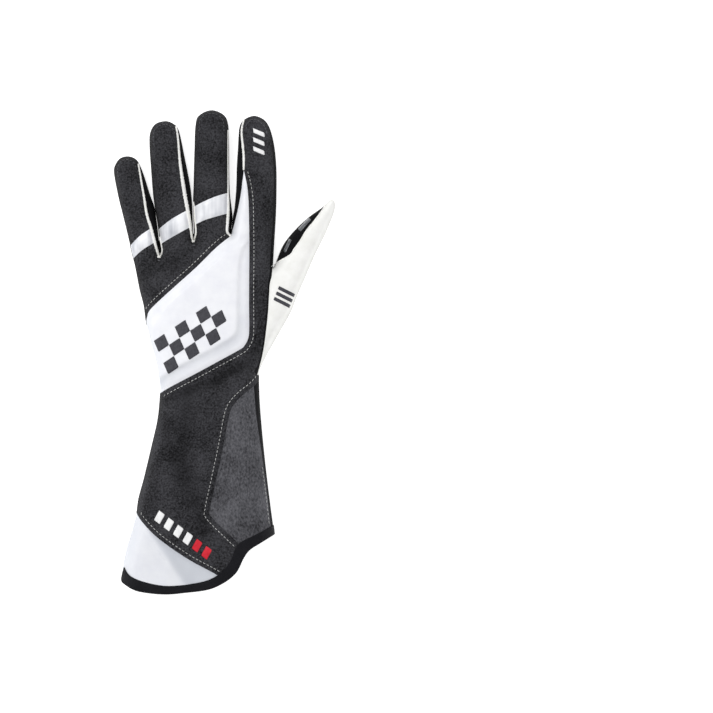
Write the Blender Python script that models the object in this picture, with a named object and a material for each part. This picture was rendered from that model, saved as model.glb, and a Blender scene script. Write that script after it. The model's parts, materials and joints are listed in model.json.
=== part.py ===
# Karting glove for the left hand, lying palm down with its fingers toward +Y.
# A hollow sewn shell, cut into the real glove's panels, with silicone grip pads under the palm.
# Metres, +Z up. The origin is on the floor, in the middle of the glove's outline.

import bpy
import bmesh
from math import copysign, cos, hypot, pi, radians, sin

# Driving sizes of the shell
HAND_LENGTH = 0.103
HAND_WIDTH = 0.090
HAND_THICKNESS = 0.0185
FINGER_LENGTH = 0.087
FINGER_WIDTH = 0.0228
FINGER_THICKNESS = 0.0135
THUMB_LENGTH = 0.0785
THUMB_WIDTH = 0.0225
THUMB_THICKNESS = 0.0140
WRIST_WIDTH = 0.0676
WRIST_THICKNESS = 0.0205
GAUNTLET_LENGTH = 0.144
CUFF_WIDTH = 0.104
CUFF_THICKNESS = 0.030

# Cloth, seams and trim
WALL = 0.0015
SEAM_GAP = 0.0003
PALM_SEAM_HEIGHT = 0.0030
BINDING_WIDTH = 0.0066
BINDING_PROUD = 0.0004
PAD_THICKNESS = 0.0006
PAD_GAP = 0.0003
LINE_WIDTH = 0.0008
MERGE = 2e-7
FLAT_ANGLE = 0.4
SHARP_ANGLE = 34

# Form of a cross-section: a flat underside and a domed back
TOP_SQUARENESS = 2.3
UNDERSIDE_SQUARENESS = 6.0
FLAT_SHARE = 0.88
TIP_SQUARENESS = 2.3
BODY_STEPS = 14
DIGIT_STEPS = 8
UNDERSIDE_ANGLES = (180.0, 202.5, 225.0, 270.0, 315.0, 337.5)
TIP_STEPS = 3
TIP_LAST_STEP = 3.35
TIP_LOWEST = 0.45
NARROWEST_BORE = 2.4
PAST_TIP = 1.12
PAST_MOUTH = 4 * WALL
UNDER_HAND = -0.12

FLOOR_TO_CLOTH = PAD_THICKNESS + PAD_GAP
PALM_SEAM = FLOOR_TO_CLOTH + PALM_SEAM_HEIGHT
ABOVE_PALM = PALM_SEAM + SEAM_GAP / 2
REACH = HAND_LENGTH + FINGER_LENGTH + GAUNTLET_LENGTH
ALL_HEIGHT = 2 * (HAND_THICKNESS + WRIST_THICKNESS + CUFF_THICKNESS)

# Sections of the hand, as shares of the hand's length, width and thickness:
# along and across at the little finger's edge, then at the thumb's edge
HAND_SECTIONS = (
    # left along, left across, right along, right across, thickness, bow ahead
    (0.165, -0.403, 0.221, 0.399, 1.10, 0.000),
    (0.288, -0.442, 0.335, 0.429, 1.07, 0.000),
    (0.431, -0.481, 0.450, 0.450, 1.03, 0.000),
    (0.596, -0.516, 0.604, 0.463, 1.00, 0.020),
    (0.690, -0.544, 0.740, 0.474, 0.94, 0.060),
    (0.757, -0.566, 0.945, 0.488, 0.82, 0.117),
    (0.930, -0.590, 1.040, 0.488, 0.26, 0.117),
)

# Sections of the gauntlet, as shares of its length, the cuff's width and its thickness
GAUNTLET_SECTIONS = (
    # along, left across, right across, thickness
    (1.060, -0.640, 0.495, 1.02),
    (0.880, -0.572, 0.455, 1.00),
    (0.709, -0.512, 0.423, 0.95),
    (0.561, -0.468, 0.393, 0.90),
    (0.407, -0.417, 0.372, 0.85),
    (0.244, -0.367, 0.346, 0.78),
    (0.117, -0.329, 0.342, 0.72),
)

# Fingers: root in shares of the hand, tip in shares of the hand and of the middle finger's length,
# widths and sideways bow in shares of the middle finger's width
FINGERS = {
    # root across, root along, tip across, tip beyond the hand, root, middle and end width, bow
    "pinky": (-0.480, 0.851, -0.638, 0.628, 0.72, 0.95, 0.80, 0.04),
    "ring": (-0.245, 0.911, -0.339, 0.908, 0.96, 1.09, 0.95, 0.00),
    "middle": (0.017, 0.985, 0.015, 0.997, 1.02, 1.00, 0.95, 0.00),
    "index": (0.330, 0.971, 0.339, 0.949, 1.30, 1.18, 0.98, 0.09),
}
FINGER_TABLE_ENDS = 0.86
ROOT_OVERLAP = 0.16

# Sections of the thumb on its own axis, as shares of its length, width and thickness
THUMB_ROOT = (0.510, 0.569)
THUMB_TIP = (0.932, 1.236)
THUMB_SECTIONS = (
    # along, left half, right half, thickness
    (-0.52, 0.50, 0.50, 1.18),
    (-0.25, 0.54, 0.54, 1.20),
    (0.00, 0.56, 0.55, 1.16),
    (0.27, 0.55, 0.45, 1.08),
    (0.53, 0.55, 0.42, 1.00),
    (0.66, 0.48, 0.39, 0.95),
    (0.80, 0.28, 0.32, 0.86),
    (0.93, 0.10, 0.21, 0.70),
    (0.985, 0.03, 0.12, 0.55),
)

# Side strips: how far each finger's back reaches to its edges, as shares of its half width
BACK_REACH = {
    # left, right; past 1 the back wraps down to the palm seam
    "pinky": (-1.5, 0.72),
    "ring": (-0.90, 0.72),
    "middle": (-0.90, 0.90),
    "index": (-0.66, 1.5),
}

# Silver band: where it starts and ends on each finger's left and right edge, along the finger
BAND = {
    # left start, left end, right start, right end
    "pinky": (0.03, 0.145, 0.15, 0.275),
    "ring": (0.03, 0.150, 0.17, 0.285),
    "middle": (0.11, 0.240, 0.19, 0.345),
}

# Grip pads on each finger's underside, along the finger: apex and leg ends of each chevron
FINGER_PADS = {
    # tip apex, tip legs, joint apex, joint legs, outline apex, outline legs, root apex, root legs,
    # sideways shift and spread as shares of the half width
    "pinky": (0.876, 0.745, 0.717, 0.594, 0.567, 0.419, 0.205, 0.317, 0.14, 0.50),
    "ring": (0.905, 0.763, 0.742, 0.616, 0.598, 0.441, 0.200, 0.333, 0.00, 0.56),
    "middle": (0.890, 0.713, 0.692, 0.539, 0.518, 0.351, 0.120, 0.250, 0.00, 0.58),
    "index": (0.870, 0.727, 0.706, 0.570, 0.550, 0.402, 0.165, 0.300, -0.26, 0.46),
}

# Larger pads of the palm, in shares of the hand's width and length
PALM_PADS = {
    "knuckle_pad_1": ((-0.495, 0.918), (-0.345, 0.995), (-0.283, 0.929), (-0.413, 0.876)),
    "knuckle_pad_2": ((-0.290, 1.000), (-0.098, 1.020), (-0.087, 0.929), (-0.215, 0.912)),
    "knuckle_pad_3": ((-0.057, 1.019), (0.150, 1.035), (0.087, 0.935), (-0.057, 0.929)),
    "knuckle_pad_4": ((0.205, 1.040), (0.425, 1.001), (0.353, 0.924), (0.158, 0.959)),
    "heel_pad_1": ((-0.393, 0.535), (-0.269, 0.577), (-0.222, 0.553), (-0.185, 0.409),
                   (-0.249, 0.331), (-0.386, 0.361)),
    "heel_pad_2": ((-0.400, 0.325), (-0.269, 0.301), (-0.258, 0.158), (-0.350, 0.152),
                   (-0.392, 0.206)),
    "heel_pad_3": ((-0.146, 0.367), (0.025, 0.289), (0.034, 0.254), (-0.030, 0.170),
                   (-0.215, 0.170), (-0.228, 0.289)),
    "thumb_base_pad_1": ((0.223, 0.672), (0.333, 0.607), (0.285, 0.499), (0.162, 0.565)),
    "thumb_base_pad_2": ((0.299, 0.696), (0.484, 0.684), (0.463, 0.648), (0.367, 0.624)),
    "thumb_base_pad_3": ((0.470, 0.636), (0.497, 0.583), (0.326, 0.469), (0.312, 0.493),
                         (0.367, 0.589)),
}

# Shape of a chevron: where its notch lies between apex and legs, and how wide it is there
NOTCH = 0.42
APEX_HALF = 0.45
NOTCH_HALF = 0.315
LEG_INSIDE = 0.80
OUTLINE_LEG_INSIDE = 0.45

# Slim pads on the thumb, in shares of its length and width
THUMB_PADS = {
    "thumb_pad_1": ((0.800, -0.15), (0.860, 0.05), (0.640, 0.02), (0.560, -0.15), (0.600, -0.22)),
    "thumb_pad_2": ((0.540, -0.28), (0.520, -0.14), (0.250, -0.18), (0.250, -0.26)),
}

# Red grip lines in the middle of the palm: slim slanted bars in a row, and two hexagons
BAR_COUNT = 5
BAR_FIRST = (-0.340, 0.735)
BAR_STEP = (0.135, 0.012)
BAR_SIZE = (0.050, 0.095)
BAR_LEAN = 0.070
HEXAGONS = {
    # centre across and along, radius as a share of the hand's width
    "palm_hexagon_1": (-0.020, 0.560, 0.115),
    "palm_hexagon_2": (0.150, 0.400, 0.090),
}

COLOURS = {
    # red, green, blue, roughness
    "black_cloth": (0.020, 0.020, 0.022, 0.90),
    "white_cloth": (0.860, 0.870, 0.900, 0.65),
    "grey_cloth": (0.065, 0.065, 0.070, 0.85),
    "silver_band": (0.620, 0.630, 0.650, 0.35),
    "binding": (0.010, 0.010, 0.011, 0.80),
    "silicone": (0.110, 0.120, 0.130, 0.45),
    "red_silicone": (0.550, 0.035, 0.050, 0.45),
}


def clear_scene():
    for item in list(bpy.data.objects):
        bpy.data.objects.remove(item, do_unlink=True)


def new_collection(name):
    made = bpy.data.collections.new(name)
    bpy.context.scene.collection.children.link(made)
    return made


def material(name, finish):
    red, green, blue, roughness = COLOURS[finish]
    made = bpy.data.materials.new(f"{name}_{finish}")
    made.use_nodes = True
    shader = made.node_tree.nodes["Principled BSDF"]
    shader.inputs["Base Color"].default_value = (red, green, blue, 1.0)
    shader.inputs["Roughness"].default_value = roughness
    shader.inputs["Metallic"].default_value = 0.0
    return made


# Places on the glove: every point follows the size of what it lies on

def on_hand(across, along):
    return (across * HAND_WIDTH, along * HAND_LENGTH)


def on_cuff(across, along):
    return (across * CUFF_WIDTH, -along * GAUNTLET_LENGTH)


def finger_axis(name):
    root_across, root_along, tip_across, beyond = FINGERS[name][:4]
    root = on_hand(root_across, root_along)
    tip = (tip_across * HAND_WIDTH, HAND_LENGTH + beyond * FINGER_LENGTH)
    return root, tip


def direction(start, end):
    length = hypot(end[0] - start[0], end[1] - start[1])
    return (end[0] - start[0]) / length, (end[1] - start[1]) / length, length


def mix(first, second, share):
    return first + (second - first) * share


def finger_width(name, along):
    root, middle, end = FINGERS[name][4:7]
    if along < 0.5:
        return FINGER_WIDTH * mix(root, middle, max(along, -ROOT_OVERLAP) / 0.5)
    return FINGER_WIDTH * mix(middle, end, (along - 0.5) / (FINGER_TABLE_ENDS - 0.5))


def on_finger(name, along, across):
    """A plan point at a share of the finger's length and of its half width there."""
    root, tip = finger_axis(name)
    ahead_x, ahead_y, length = direction(root, tip)
    bow = FINGERS[name][7] * FINGER_WIDTH * sin(pi * min(max(along, 0), 1))
    side = bow + across * finger_width(name, min(along, FINGER_TABLE_ENDS)) / 2
    return (root[0] + ahead_x * along * length + ahead_y * side,
            root[1] + ahead_y * along * length - ahead_x * side)


def on_thumb(along, across):
    """A plan point at a share of the thumb's length and of its width from its axis."""
    ahead_x, ahead_y, _ = direction(on_hand(*THUMB_ROOT), on_hand(*THUMB_TIP))
    root = on_hand(*THUMB_ROOT)
    side = across * THUMB_WIDTH
    return (root[0] + ahead_x * along * THUMB_LENGTH + ahead_y * side,
            root[1] + ahead_y * along * THUMB_LENGTH - ahead_x * side)


# Lofted shells

def cross_section(left, right, thickness, inset, steps, bow=0):
    """One ring of points, upright over the line from left to right, bowed ahead in its middle."""
    across_x, across_y, width = direction(left, right)
    half = width / 2 - inset
    middle = ((left[0] + right[0]) / 2, (left[1] + right[1]) / 2)
    bottom = FLOOR_TO_CLOTH + inset
    top = FLOOR_TO_CLOTH + thickness - inset
    ring = []
    angles = [180 * step / steps for step in range(steps)] + list(UNDERSIDE_ANGLES)
    for angle in (radians(degree) for degree in angles):
        squareness = TOP_SQUARENESS if sin(angle) > 0 else UNDERSIDE_SQUARENESS
        side = copysign(abs(cos(angle)) ** (2 / squareness), cos(angle))
        rise = max(copysign(abs(sin(angle)) ** (2 / squareness), sin(angle)), -FLAT_SHARE)
        height = mix(bottom, top, (rise + FLAT_SHARE) / (1 + FLAT_SHARE))
        ahead = bow * (1 - side * side)
        ring.append((middle[0] + across_x * half * side - across_y * ahead,
                     middle[1] + across_y * half * side + across_x * ahead, height))
    return ring


def tidy(mesh):
    """Join doubled points and leave flat triangles only, which booleans cut cleanly."""
    made = bmesh.new()
    made.from_mesh(mesh)
    bmesh.ops.remove_doubles(made, verts=made.verts, dist=MERGE)
    bmesh.ops.dissolve_degenerate(made, edges=made.edges, dist=MERGE)
    bmesh.ops.triangulate(made, faces=made.faces)
    made.to_mesh(mesh)
    made.free()
    return mesh


def flatten(mesh):
    """Dissolve the cuts that booleans leave inside flat areas."""
    made = bmesh.new()
    made.from_mesh(mesh)
    bmesh.ops.dissolve_limit(made, angle_limit=radians(FLAT_ANGLE), verts=made.verts, edges=made.edges)
    bmesh.ops.triangulate(made, faces=made.faces)
    if all(len(edge.link_faces) == 2 for edge in made.edges):
        made.to_mesh(mesh)
    made.free()


def loft(name, rings):
    """A closed body through rings of as many points each, from the near end to the far one."""
    mesh = bpy.data.meshes.new(name)
    made = bmesh.new()
    loops = [[made.verts.new(point) for point in ring] for ring in rings]
    count = len(loops[0])
    for near, far in zip(loops, loops[1:]):
        for step in range(count):
            after = (step + 1) % count
            made.faces.new((near[step], near[after], far[after], far[step]))
    made.faces.new(loops[0])
    made.faces.new(loops[-1])
    bmesh.ops.recalc_face_normals(made, faces=made.faces)
    made.to_mesh(mesh)
    made.free()
    return tidy(mesh)


def body_rings(inset, past_cuff):
    """Rings of the gauntlet, wrist and hand, from the cuff to the roots of the fingers."""
    rings = []
    for row, (along, left, right, thick) in enumerate(GAUNTLET_SECTIONS):
        near = on_cuff(left, along)
        far = on_cuff(right, along)
        drop = past_cuff if row == 0 else 0
        rings.append(cross_section((near[0], near[1] - drop), (far[0], far[1] - drop),
                                   CUFF_THICKNESS * thick, inset, BODY_STEPS))
    rings.append(cross_section((-WRIST_WIDTH / 2, 0), (WRIST_WIDTH / 2, 0),
                               WRIST_THICKNESS, inset, BODY_STEPS))
    last = len(HAND_SECTIONS) - 1
    for row, (left_along, left, right_along, right, thick, bow) in enumerate(HAND_SECTIONS):
        near = on_hand(left, left_along)
        far = on_hand(right, right_along)
        back = inset if row == last else 0
        rings.append(cross_section((near[0], near[1] - back), (far[0], far[1] - back),
                                   HAND_THICKNESS * thick, inset, BODY_STEPS, bow * HAND_LENGTH))
    return rings


def finger_rings(name, inset):
    """Rings of one finger, from inside the hand to its rounded tip."""
    root, tip = finger_axis(name)
    length = direction(root, tip)[2]
    end_half = finger_width(name, FINGER_TABLE_ENDS) / 2
    start_of_tip = 1 - end_half / length
    rings = []
    for along in (-ROOT_OVERLAP, 0.0, 0.25, 0.5, start_of_tip):
        rings.append(cross_section(on_finger(name, along, -1), on_finger(name, along, 1),
                                   FINGER_THICKNESS, inset, DIGIT_STEPS))
    for step in range(1, TIP_STEPS + 1):
        angle = pi / 2 * step / TIP_LAST_STEP
        reach = sin(angle) ** (2 / TIP_SQUARENESS)
        narrow = cos(angle) ** (2 / TIP_SQUARENESS)
        along = start_of_tip + reach * (end_half - inset) / length
        half = narrow * (end_half - inset) / (finger_width(name, FINGER_TABLE_ENDS) / 2)
        thickness = (FINGER_THICKNESS - 2 * inset) * mix(TIP_LOWEST, 1, narrow)
        ring = cross_section(on_finger(name, along, -half), on_finger(name, along, half),
                             thickness, 0, DIGIT_STEPS)
        rings.append([(x, y, z + inset) for x, y, z in ring])
    return rings


def thumb_rings(inset):
    last = len(THUMB_SECTIONS) - 1
    rings = []
    for row, (along, left, right, thick) in enumerate(THUMB_SECTIONS):
        narrowest = NARROWEST_BORE * inset / THUMB_WIDTH
        if left + right < narrowest:
            continue
        shortened = along - (inset / THUMB_LENGTH if row >= last - 1 else 0)
        rings.append(cross_section(on_thumb(shortened, -left), on_thumb(shortened, right),
                                   THUMB_THICKNESS * thick, inset, DIGIT_STEPS))
    return rings


# Joining and cutting

def solid(mesh, collection):
    made = bpy.data.objects.new(mesh.name, mesh)
    collection.objects.link(made)
    return made


def combine(target, tool, operation, solver="EXACT"):
    """Apply one boolean to the target's mesh, and remove the tool."""
    step = target.modifiers.new(operation.title(), "BOOLEAN")
    step.operation = operation
    step.solver = solver
    step.object = tool
    bpy.context.view_layer.update()
    seen = target.evaluated_get(bpy.context.evaluated_depsgraph_get())
    mesh = bpy.data.meshes.new_from_object(seen)
    target.modifiers.clear()
    target.data = tidy(mesh)
    bpy.data.objects.remove(tool, do_unlink=True)
    return target


def copy_of(item, name, collection):
    made = bpy.data.objects.new(name, item.data.copy())
    collection.objects.link(made)
    return made


def slab(name, outlines, low, high, collection):
    """A flat outline, with any holes in it, raised from one height to another."""
    curve = bpy.data.curves.new(name, "CURVE")
    curve.dimensions = "2D"
    curve.fill_mode = "BOTH"
    curve.extrude = (high - low) / 2
    for outline in outlines:
        spline = curve.splines.new("POLY")
        spline.points.add(len(outline) - 1)
        spline.use_cyclic_u = True
        for point, (x, y) in zip(spline.points, outline):
            point.co = (x, y, 0, 1)
    drawn = bpy.data.objects.new(name, curve)
    collection.objects.link(drawn)
    bpy.context.view_layer.update()
    seen = drawn.evaluated_get(bpy.context.evaluated_depsgraph_get())
    mesh = bpy.data.meshes.new_from_object(seen)
    bpy.data.objects.remove(drawn, do_unlink=True)
    made = bmesh.new()
    made.from_mesh(mesh)
    bmesh.ops.remove_doubles(made, verts=made.verts, dist=MERGE)
    bmesh.ops.recalc_face_normals(made, faces=made.faces)
    bmesh.ops.translate(made, verts=made.verts, vec=(0, 0, (high + low) / 2))
    made.to_mesh(mesh)
    made.free()
    mesh.name = name
    return solid(mesh, collection)


def turning(outline):
    """Twice the outline's area, positive where it runs anticlockwise."""
    total = 0
    for (x, y), (after_x, after_y) in zip(outline, outline[1:] + outline[:1]):
        total += x * after_y - after_x * y
    return total


def grown(outline, distance):
    """The outline moved outward by a distance, with mitred corners."""
    way = copysign(1, turning(outline))
    count = len(outline)
    moved = []
    for place in range(count):
        before, here, after = outline[place - 1], outline[place], outline[(place + 1) % count]
        in_x, in_y, _ = direction(before, here)
        out_x, out_y, _ = direction(here, after)
        across_x, across_y = (in_y + out_y) * way, -(in_x + out_x) * way
        reach = hypot(across_x, across_y)
        across_x, across_y = across_x / reach, across_y / reach
        corner = max(across_x * in_y * way - across_y * in_x * way, 0.5)
        moved.append((here[0] + across_x * distance / corner, here[1] + across_y * distance / corner))
    return moved


def smooth_line(points, steps):
    """A curve through the points, with some steps between each two."""
    line = []
    for place in range(len(points) - 1):
        a = points[max(place - 1, 0)]
        b = points[place]
        c = points[place + 1]
        d = points[min(place + 2, len(points) - 1)]
        for step in range(steps):
            t = step / steps
            line.append(tuple(
                0.5 * (2 * b[k] + (c[k] - a[k]) * t + (2 * a[k] - 5 * b[k] + 4 * c[k] - d[k]) * t * t
                       + (3 * b[k] - a[k] - 3 * c[k] + d[k]) * t ** 3) for k in (0, 1)))
    return line + [points[-1]]


class Shell:
    """What is left of the sewn shell, from which panels are cut one after another."""

    def __init__(self, rest, parts, cutters):
        self.rest = rest
        self.parts = parts
        self.cutters = cutters

    def cut(self, name, outlines, finish, low=-ALL_HEIGHT, high=ALL_HEIGHT):
        """Cut out the panel under all the outlines, and leave a seam's gap round it.

        The MANIFOLD solver makes these cuts, because EXACT leaves the long panel uncut.
        """
        blades = []
        for gap in (0, SEAM_GAP):
            blade = None
            for place, outline in enumerate(outlines):
                past = gap + place * WALL
                piece = slab("blade", [grown(outline, gap)], low - past, high + past, self.cutters)
                blade = piece if blade is None else combine(blade, piece, "UNION")
            blades.append(blade)
        panel = copy_of(self.rest, name, self.parts)
        combine(panel, blades[0], "INTERSECT", "MANIFOLD")
        combine(self.rest, blades[1], "DIFFERENCE", "MANIFOLD")
        self.parts_done(panel, finish)
        return panel

    def parts_done(self, panel, finish):
        flatten(panel.data)
        panel.data.name = panel.name
        panel.data.materials.clear()
        panel.data.materials.append(material(panel.name, finish))
        panel.data.shade_smooth()
        panel.data.set_sharp_from_angle(angle=radians(SHARP_ANGLE))


def make_shell(parts, cutters):
    """The whole glove as one hollow body, open at the cuff."""
    skins = []
    for inset, past_cuff in ((0, 0), (WALL, PAST_MOUTH)):
        skin = solid(loft("skin", body_rings(inset, past_cuff)), cutters)
        for name in FINGERS:
            combine(skin, solid(loft(name, finger_rings(name, inset)), cutters), "UNION")
        combine(skin, solid(loft("thumb", thumb_rings(inset)), cutters), "UNION")
        skins.append(skin)
    outer, inner = skins
    combine(outer, inner, "DIFFERENCE")
    return Shell(outer, parts, cutters)


def cuff_edge():
    """The line of the cuff's mouth in plan, from the thumb's side to the other."""
    return smooth_line([on_cuff(*place) for place in (
        (0.56, 0.648), (0.426, 0.713), (0.324, 0.758), (0.246, 0.803), (0.207, 0.853), (0.140, 0.917),
        (0.050, 0.961), (-0.106, 0.989), (-0.263, 1.000), (-0.419, 0.995), (-0.537, 0.966),
        (-0.600, 0.925), (-0.72, 0.860))], 2)


def cut_cuff(shell):
    """Trim the mouth to its curved line, and set a binding round it."""
    edge = cuff_edge()
    below = [(edge[-1][0], -REACH), (edge[0][0], -REACH)]
    shelf = [(x, y + BINDING_WIDTH) for x, y in edge]
    outer = solid(loft("cuff_binding", body_rings(-BINDING_PROUD, 0)), shell.parts)
    inner = solid(loft("bore", body_rings(WALL + BINDING_PROUD, PAST_MOUTH)), shell.cutters)
    combine(outer, inner, "DIFFERENCE")
    band = slab("band", [edge + shelf[::-1]], -ALL_HEIGHT, ALL_HEIGHT, shell.cutters)
    combine(outer, band, "INTERSECT")
    shell.parts_done(outer, "binding")
    trim = [(x, y + SEAM_GAP) for x, y in shelf] + below
    combine(shell.rest, slab("trim", [trim], -ALL_HEIGHT, ALL_HEIGHT, shell.cutters), "DIFFERENCE")


def gusset_line():
    """The seam beside the gusset, from the wrist to past the cuff."""
    return [on_cuff(*place) for place in (
        (0.296, 0.004), (0.312, 0.244), (0.358, 0.551), (0.392, 0.704), (0.440, 1.2))]


def cut_palm(shell):
    """The underside, up to the seam that runs low round the glove."""
    wrap_edge = [on_hand(0.119, 0.0), on_hand(0.234, 0.154), on_hand(0.372, 0.288), on_thumb(0.0, 0.12),
                 on_thumb(0.30, 0.15), on_thumb(0.60, 0.17), on_thumb(0.86, 0.20), on_thumb(1.02, 0.30)]
    palm = wrap_edge + [on_thumb(1.1, 0.0), on_thumb(0.9, -0.75), on_thumb(0.35, -0.75),
                        on_hand(0.70, 1.4), (HAND_WIDTH, REACH), (-HAND_WIDTH, REACH),
                        on_hand(-1.0, 0.0)]
    shell.cut("palm_panel", [palm], "black_cloth", high=PALM_SEAM)
    shell.cut("side_gusset", [gusset_line() + [on_cuff(0.9, 1.2), on_cuff(0.9, 0.004)]], "black_cloth")
    under = gusset_line() + [on_cuff(-1.0, 1.2), on_cuff(-1.0, 0.003)]
    shell.cut("gauntlet_palm", [under], "black_cloth", high=PALM_SEAM)
    dark = [on_hand(0.215, 0.004), on_hand(0.285, 0.004), on_thumb(-0.365, 0.39), on_thumb(-0.10, 0.36),
            on_thumb(0.14, 0.32), on_thumb(0.42, 0.26), on_thumb(0.14, 0.25), on_thumb(-0.10, 0.26),
            on_thumb(-0.365, 0.26)]
    shell.cut("thumb_stripe", [dark], "grey_cloth", high=PALM_SEAM)


def cut_fingers(shell):
    """The backs of three fingers and the silver band that crosses them."""
    for name, (left_start, left_end, right_start, right_end) in BAND.items():
        left, right = BACK_REACH[name]
        gap = SEAM_GAP / FINGER_LENGTH
        band = [on_finger(name, left_start, left), on_finger(name, left_end, left),
                on_finger(name, right_end, right), on_finger(name, right_start, right)]
        shell.cut(f"stripe_{name}", [band], "silver_band")
        tip = [on_finger(name, left_end + gap, left), on_finger(name, 0.5, left),
               on_finger(name, 0.8, left), on_finger(name, PAST_TIP, left),
               on_finger(name, PAST_TIP, right), on_finger(name, 0.8, right),
               on_finger(name, 0.5, right), on_finger(name, right_end + gap, right)]
        shell.cut(f"finger_back_{name}", [tip], "black_cloth")


def knuckle_line():
    """The slanted seam between the knuckles and the white panel, from the edge to the index web."""
    return [on_hand(*place) for place in (
        (-0.70, 0.330), (-0.485, 0.431), (-0.468, 0.489), (-0.433, 0.534), (-0.332, 0.616),
        (-0.215, 0.711), (-0.097, 0.807), (0.020, 0.885), (0.120, 0.935))]


def cut_back(shell):
    """Knuckles, white panel, the gauntlet's insert and corner, and the long panel from the index."""
    web_drop = 0.012 * HAND_LENGTH
    across_webs = [(0.120, 0.965), (0.000, 0.955), (-0.080, 0.930), (-0.200, 0.885), (-0.330, 0.842),
                   (-0.420, 0.820), (-0.70, 0.80)]
    top = [(x, y - web_drop) for x, y in (on_hand(*place) for place in across_webs)]
    roots = []
    for name, (left_start, _, right_start, _) in BAND.items():
        left, right = BACK_REACH[name]
        gap = SEAM_GAP / FINGER_LENGTH
        roots.append([on_finger(name, UNDER_HAND, 0.8 * max(left, -1)),
                      on_finger(name, left_start - gap, left),
                      on_finger(name, right_start - gap, right),
                      on_finger(name, UNDER_HAND, 0.8 * right)])
    shell.cut("knuckle_panel", [knuckle_line() + top] + roots, "black_cloth")
    beside_index = [on_finger("index", -0.02, -0.80), on_finger("index", 0.20, -0.74),
                    on_finger("index", 0.42, -0.66), on_finger("index", 0.565, -0.62),
                    on_finger("index", 0.46, -0.50), on_finger("index", 0.20, -0.28)]
    lower_right = [on_hand(*place) for place in (
        (0.305, 0.811), (0.304, 0.356), (0.294, 0.301), (0.255, 0.261), (0.137, 0.206),
        (-0.097, 0.096), (-0.254, 0.021), (-0.379, -0.054), (-0.600, -0.16))]
    shell.cut("hand_back_panel", [knuckle_line() + beside_index + lower_right], "white_cloth")
    insert = [on_cuff(*place) for place in (
        (0.315, -0.051), (0.250, 0.002), (0.146, 0.082), (0.115, 0.153), (0.066, 0.312), (0.023, 0.490),
        (0.005, 0.614), (0.230, 0.790), (0.600, 0.850), (0.600, 0.004))]
    shell.cut("gauntlet_insert", [insert], "grey_cloth", low=ABOVE_PALM)
    corner = smooth_line([on_cuff(*place) for place in (
        (-0.650, 0.500), (-0.541, 0.580), (-0.468, 0.632), (-0.425, 0.667), (-0.302, 0.747),
        (-0.179, 0.809), (-0.056, 0.862), (0.160, 0.950))], 1)
    shell.cut("cuff_corner_panel", [corner + [on_cuff(0.1, 1.3), on_cuff(-0.9, 1.3)]], "white_cloth")


def thumb_seam():
    """The seam between the thumb's white back and the long black panel, from the web to the wrist."""
    return [on_hand(*place) for place in (
        (0.476, 0.760), (0.470, 0.719), (0.461, 0.604), (0.448, 0.450), (0.417, 0.258), (0.384, 0.150),
        (0.371, 0.080), (0.365, 0.004))]


def cut_thumb(shell):
    """The thumb's white back and the black side that faces the index finger."""
    inner_side = [on_thumb(0.20, -0.75), on_thumb(0.245, -0.545), on_thumb(0.30, -0.44),
                  on_thumb(0.42, -0.37), on_thumb(0.60, -0.34), on_thumb(0.76, -0.24),
                  on_thumb(0.90, -0.08), on_thumb(1.02, 0.10), on_thumb(1.2, -0.3),
                  on_thumb(0.80, -0.75)]
    shell.cut("thumb_inner_side", [inner_side], "black_cloth")
    back = [on_hand(0.45, 0.90), on_hand(0.20, 0.40), on_hand(0.05, 0.0), on_hand(0.60, 0.0),
            on_thumb(-0.3, 0.9), on_thumb(0.5, 0.9), on_thumb(1.2, 0.5), on_thumb(1.2, -0.2),
            on_thumb(0.6, -0.8)]
    shell.cut("thumb_back", [back], "white_cloth")


def cut_long_panel(shell):
    """The index finger's back and the panel that runs on from it, down to the cuff."""
    left, right = BACK_REACH["index"]
    beside_fingers = [on_finger("index", along, left - 0.10)
                      for along in (0.0, 0.25, 0.5, 0.75, 0.9, PAST_TIP)]
    outer_side = [on_finger("index", along, right) for along in (PAST_TIP, 0.9, 0.5, 0.1)]
    shell.cut("index_back", [beside_fingers + outer_side], "black_cloth", low=ABOVE_PALM)
    over_gauntlet = [on_cuff(0.80, 0.0), on_cuff(0.80, 1.1), on_cuff(-0.80, 1.1),
                     on_hand(-0.75, -0.10), on_hand(-0.10, 0.30), on_hand(0.24, 0.50)]
    outline = beside_fingers[:1] + outer_side[-1:] + thumb_seam() + over_gauntlet
    shell.cut("index_gauntlet_panel", [outline], "black_cloth", low=ABOVE_PALM)


def cut_fourchettes(shell):
    """The strips between the fingers, each a narrow loop round one web."""
    names = list(FINGERS)
    for near, far in zip(names, names[1:]):
        wedge = [on_finger(near, -0.20, 0.2), on_finger(near, 0.5, 0), on_finger(near, 1.2, 0.4),
                 on_finger(far, 1.2, -0.4), on_finger(far, 0.5, 0), on_finger(far, -0.20, -0.2)]
        shell.cut(f"fourchette_{near}_{far}", [wedge], "black_cloth")


def pad(shell, name, outline, finish):
    """A silicone pad under the palm, its lower face on the floor."""
    made = slab(name, [outline], 0, PAD_THICKNESS, shell.parts)
    made.data.materials.append(material(name, finish))


def line_loop(shell, name, outline):
    """A thin line of red silicone that follows a closed outline."""
    made = slab(name, [outline, grown(outline, -LINE_WIDTH)], 0, PAD_THICKNESS, shell.parts)
    made.data.materials.append(material(name, "red_silicone"))


def chevron(finger, apex, legs, shift, spread, leg_inside=LEG_INSIDE):
    """A chevron across the finger: blunt at its apex, with two legs that taper."""
    notch = mix(apex, legs, NOTCH)
    half = spread * APEX_HALF
    end = spread * leg_inside
    inner = spread * NOTCH_HALF
    outline = [(apex, -half), (apex, half), (legs, spread), (legs, end), (notch, inner),
               (notch, -inner), (legs, -end), (legs, -spread)]
    return [on_finger(finger, along, shift + across) for along, across in outline]


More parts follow.
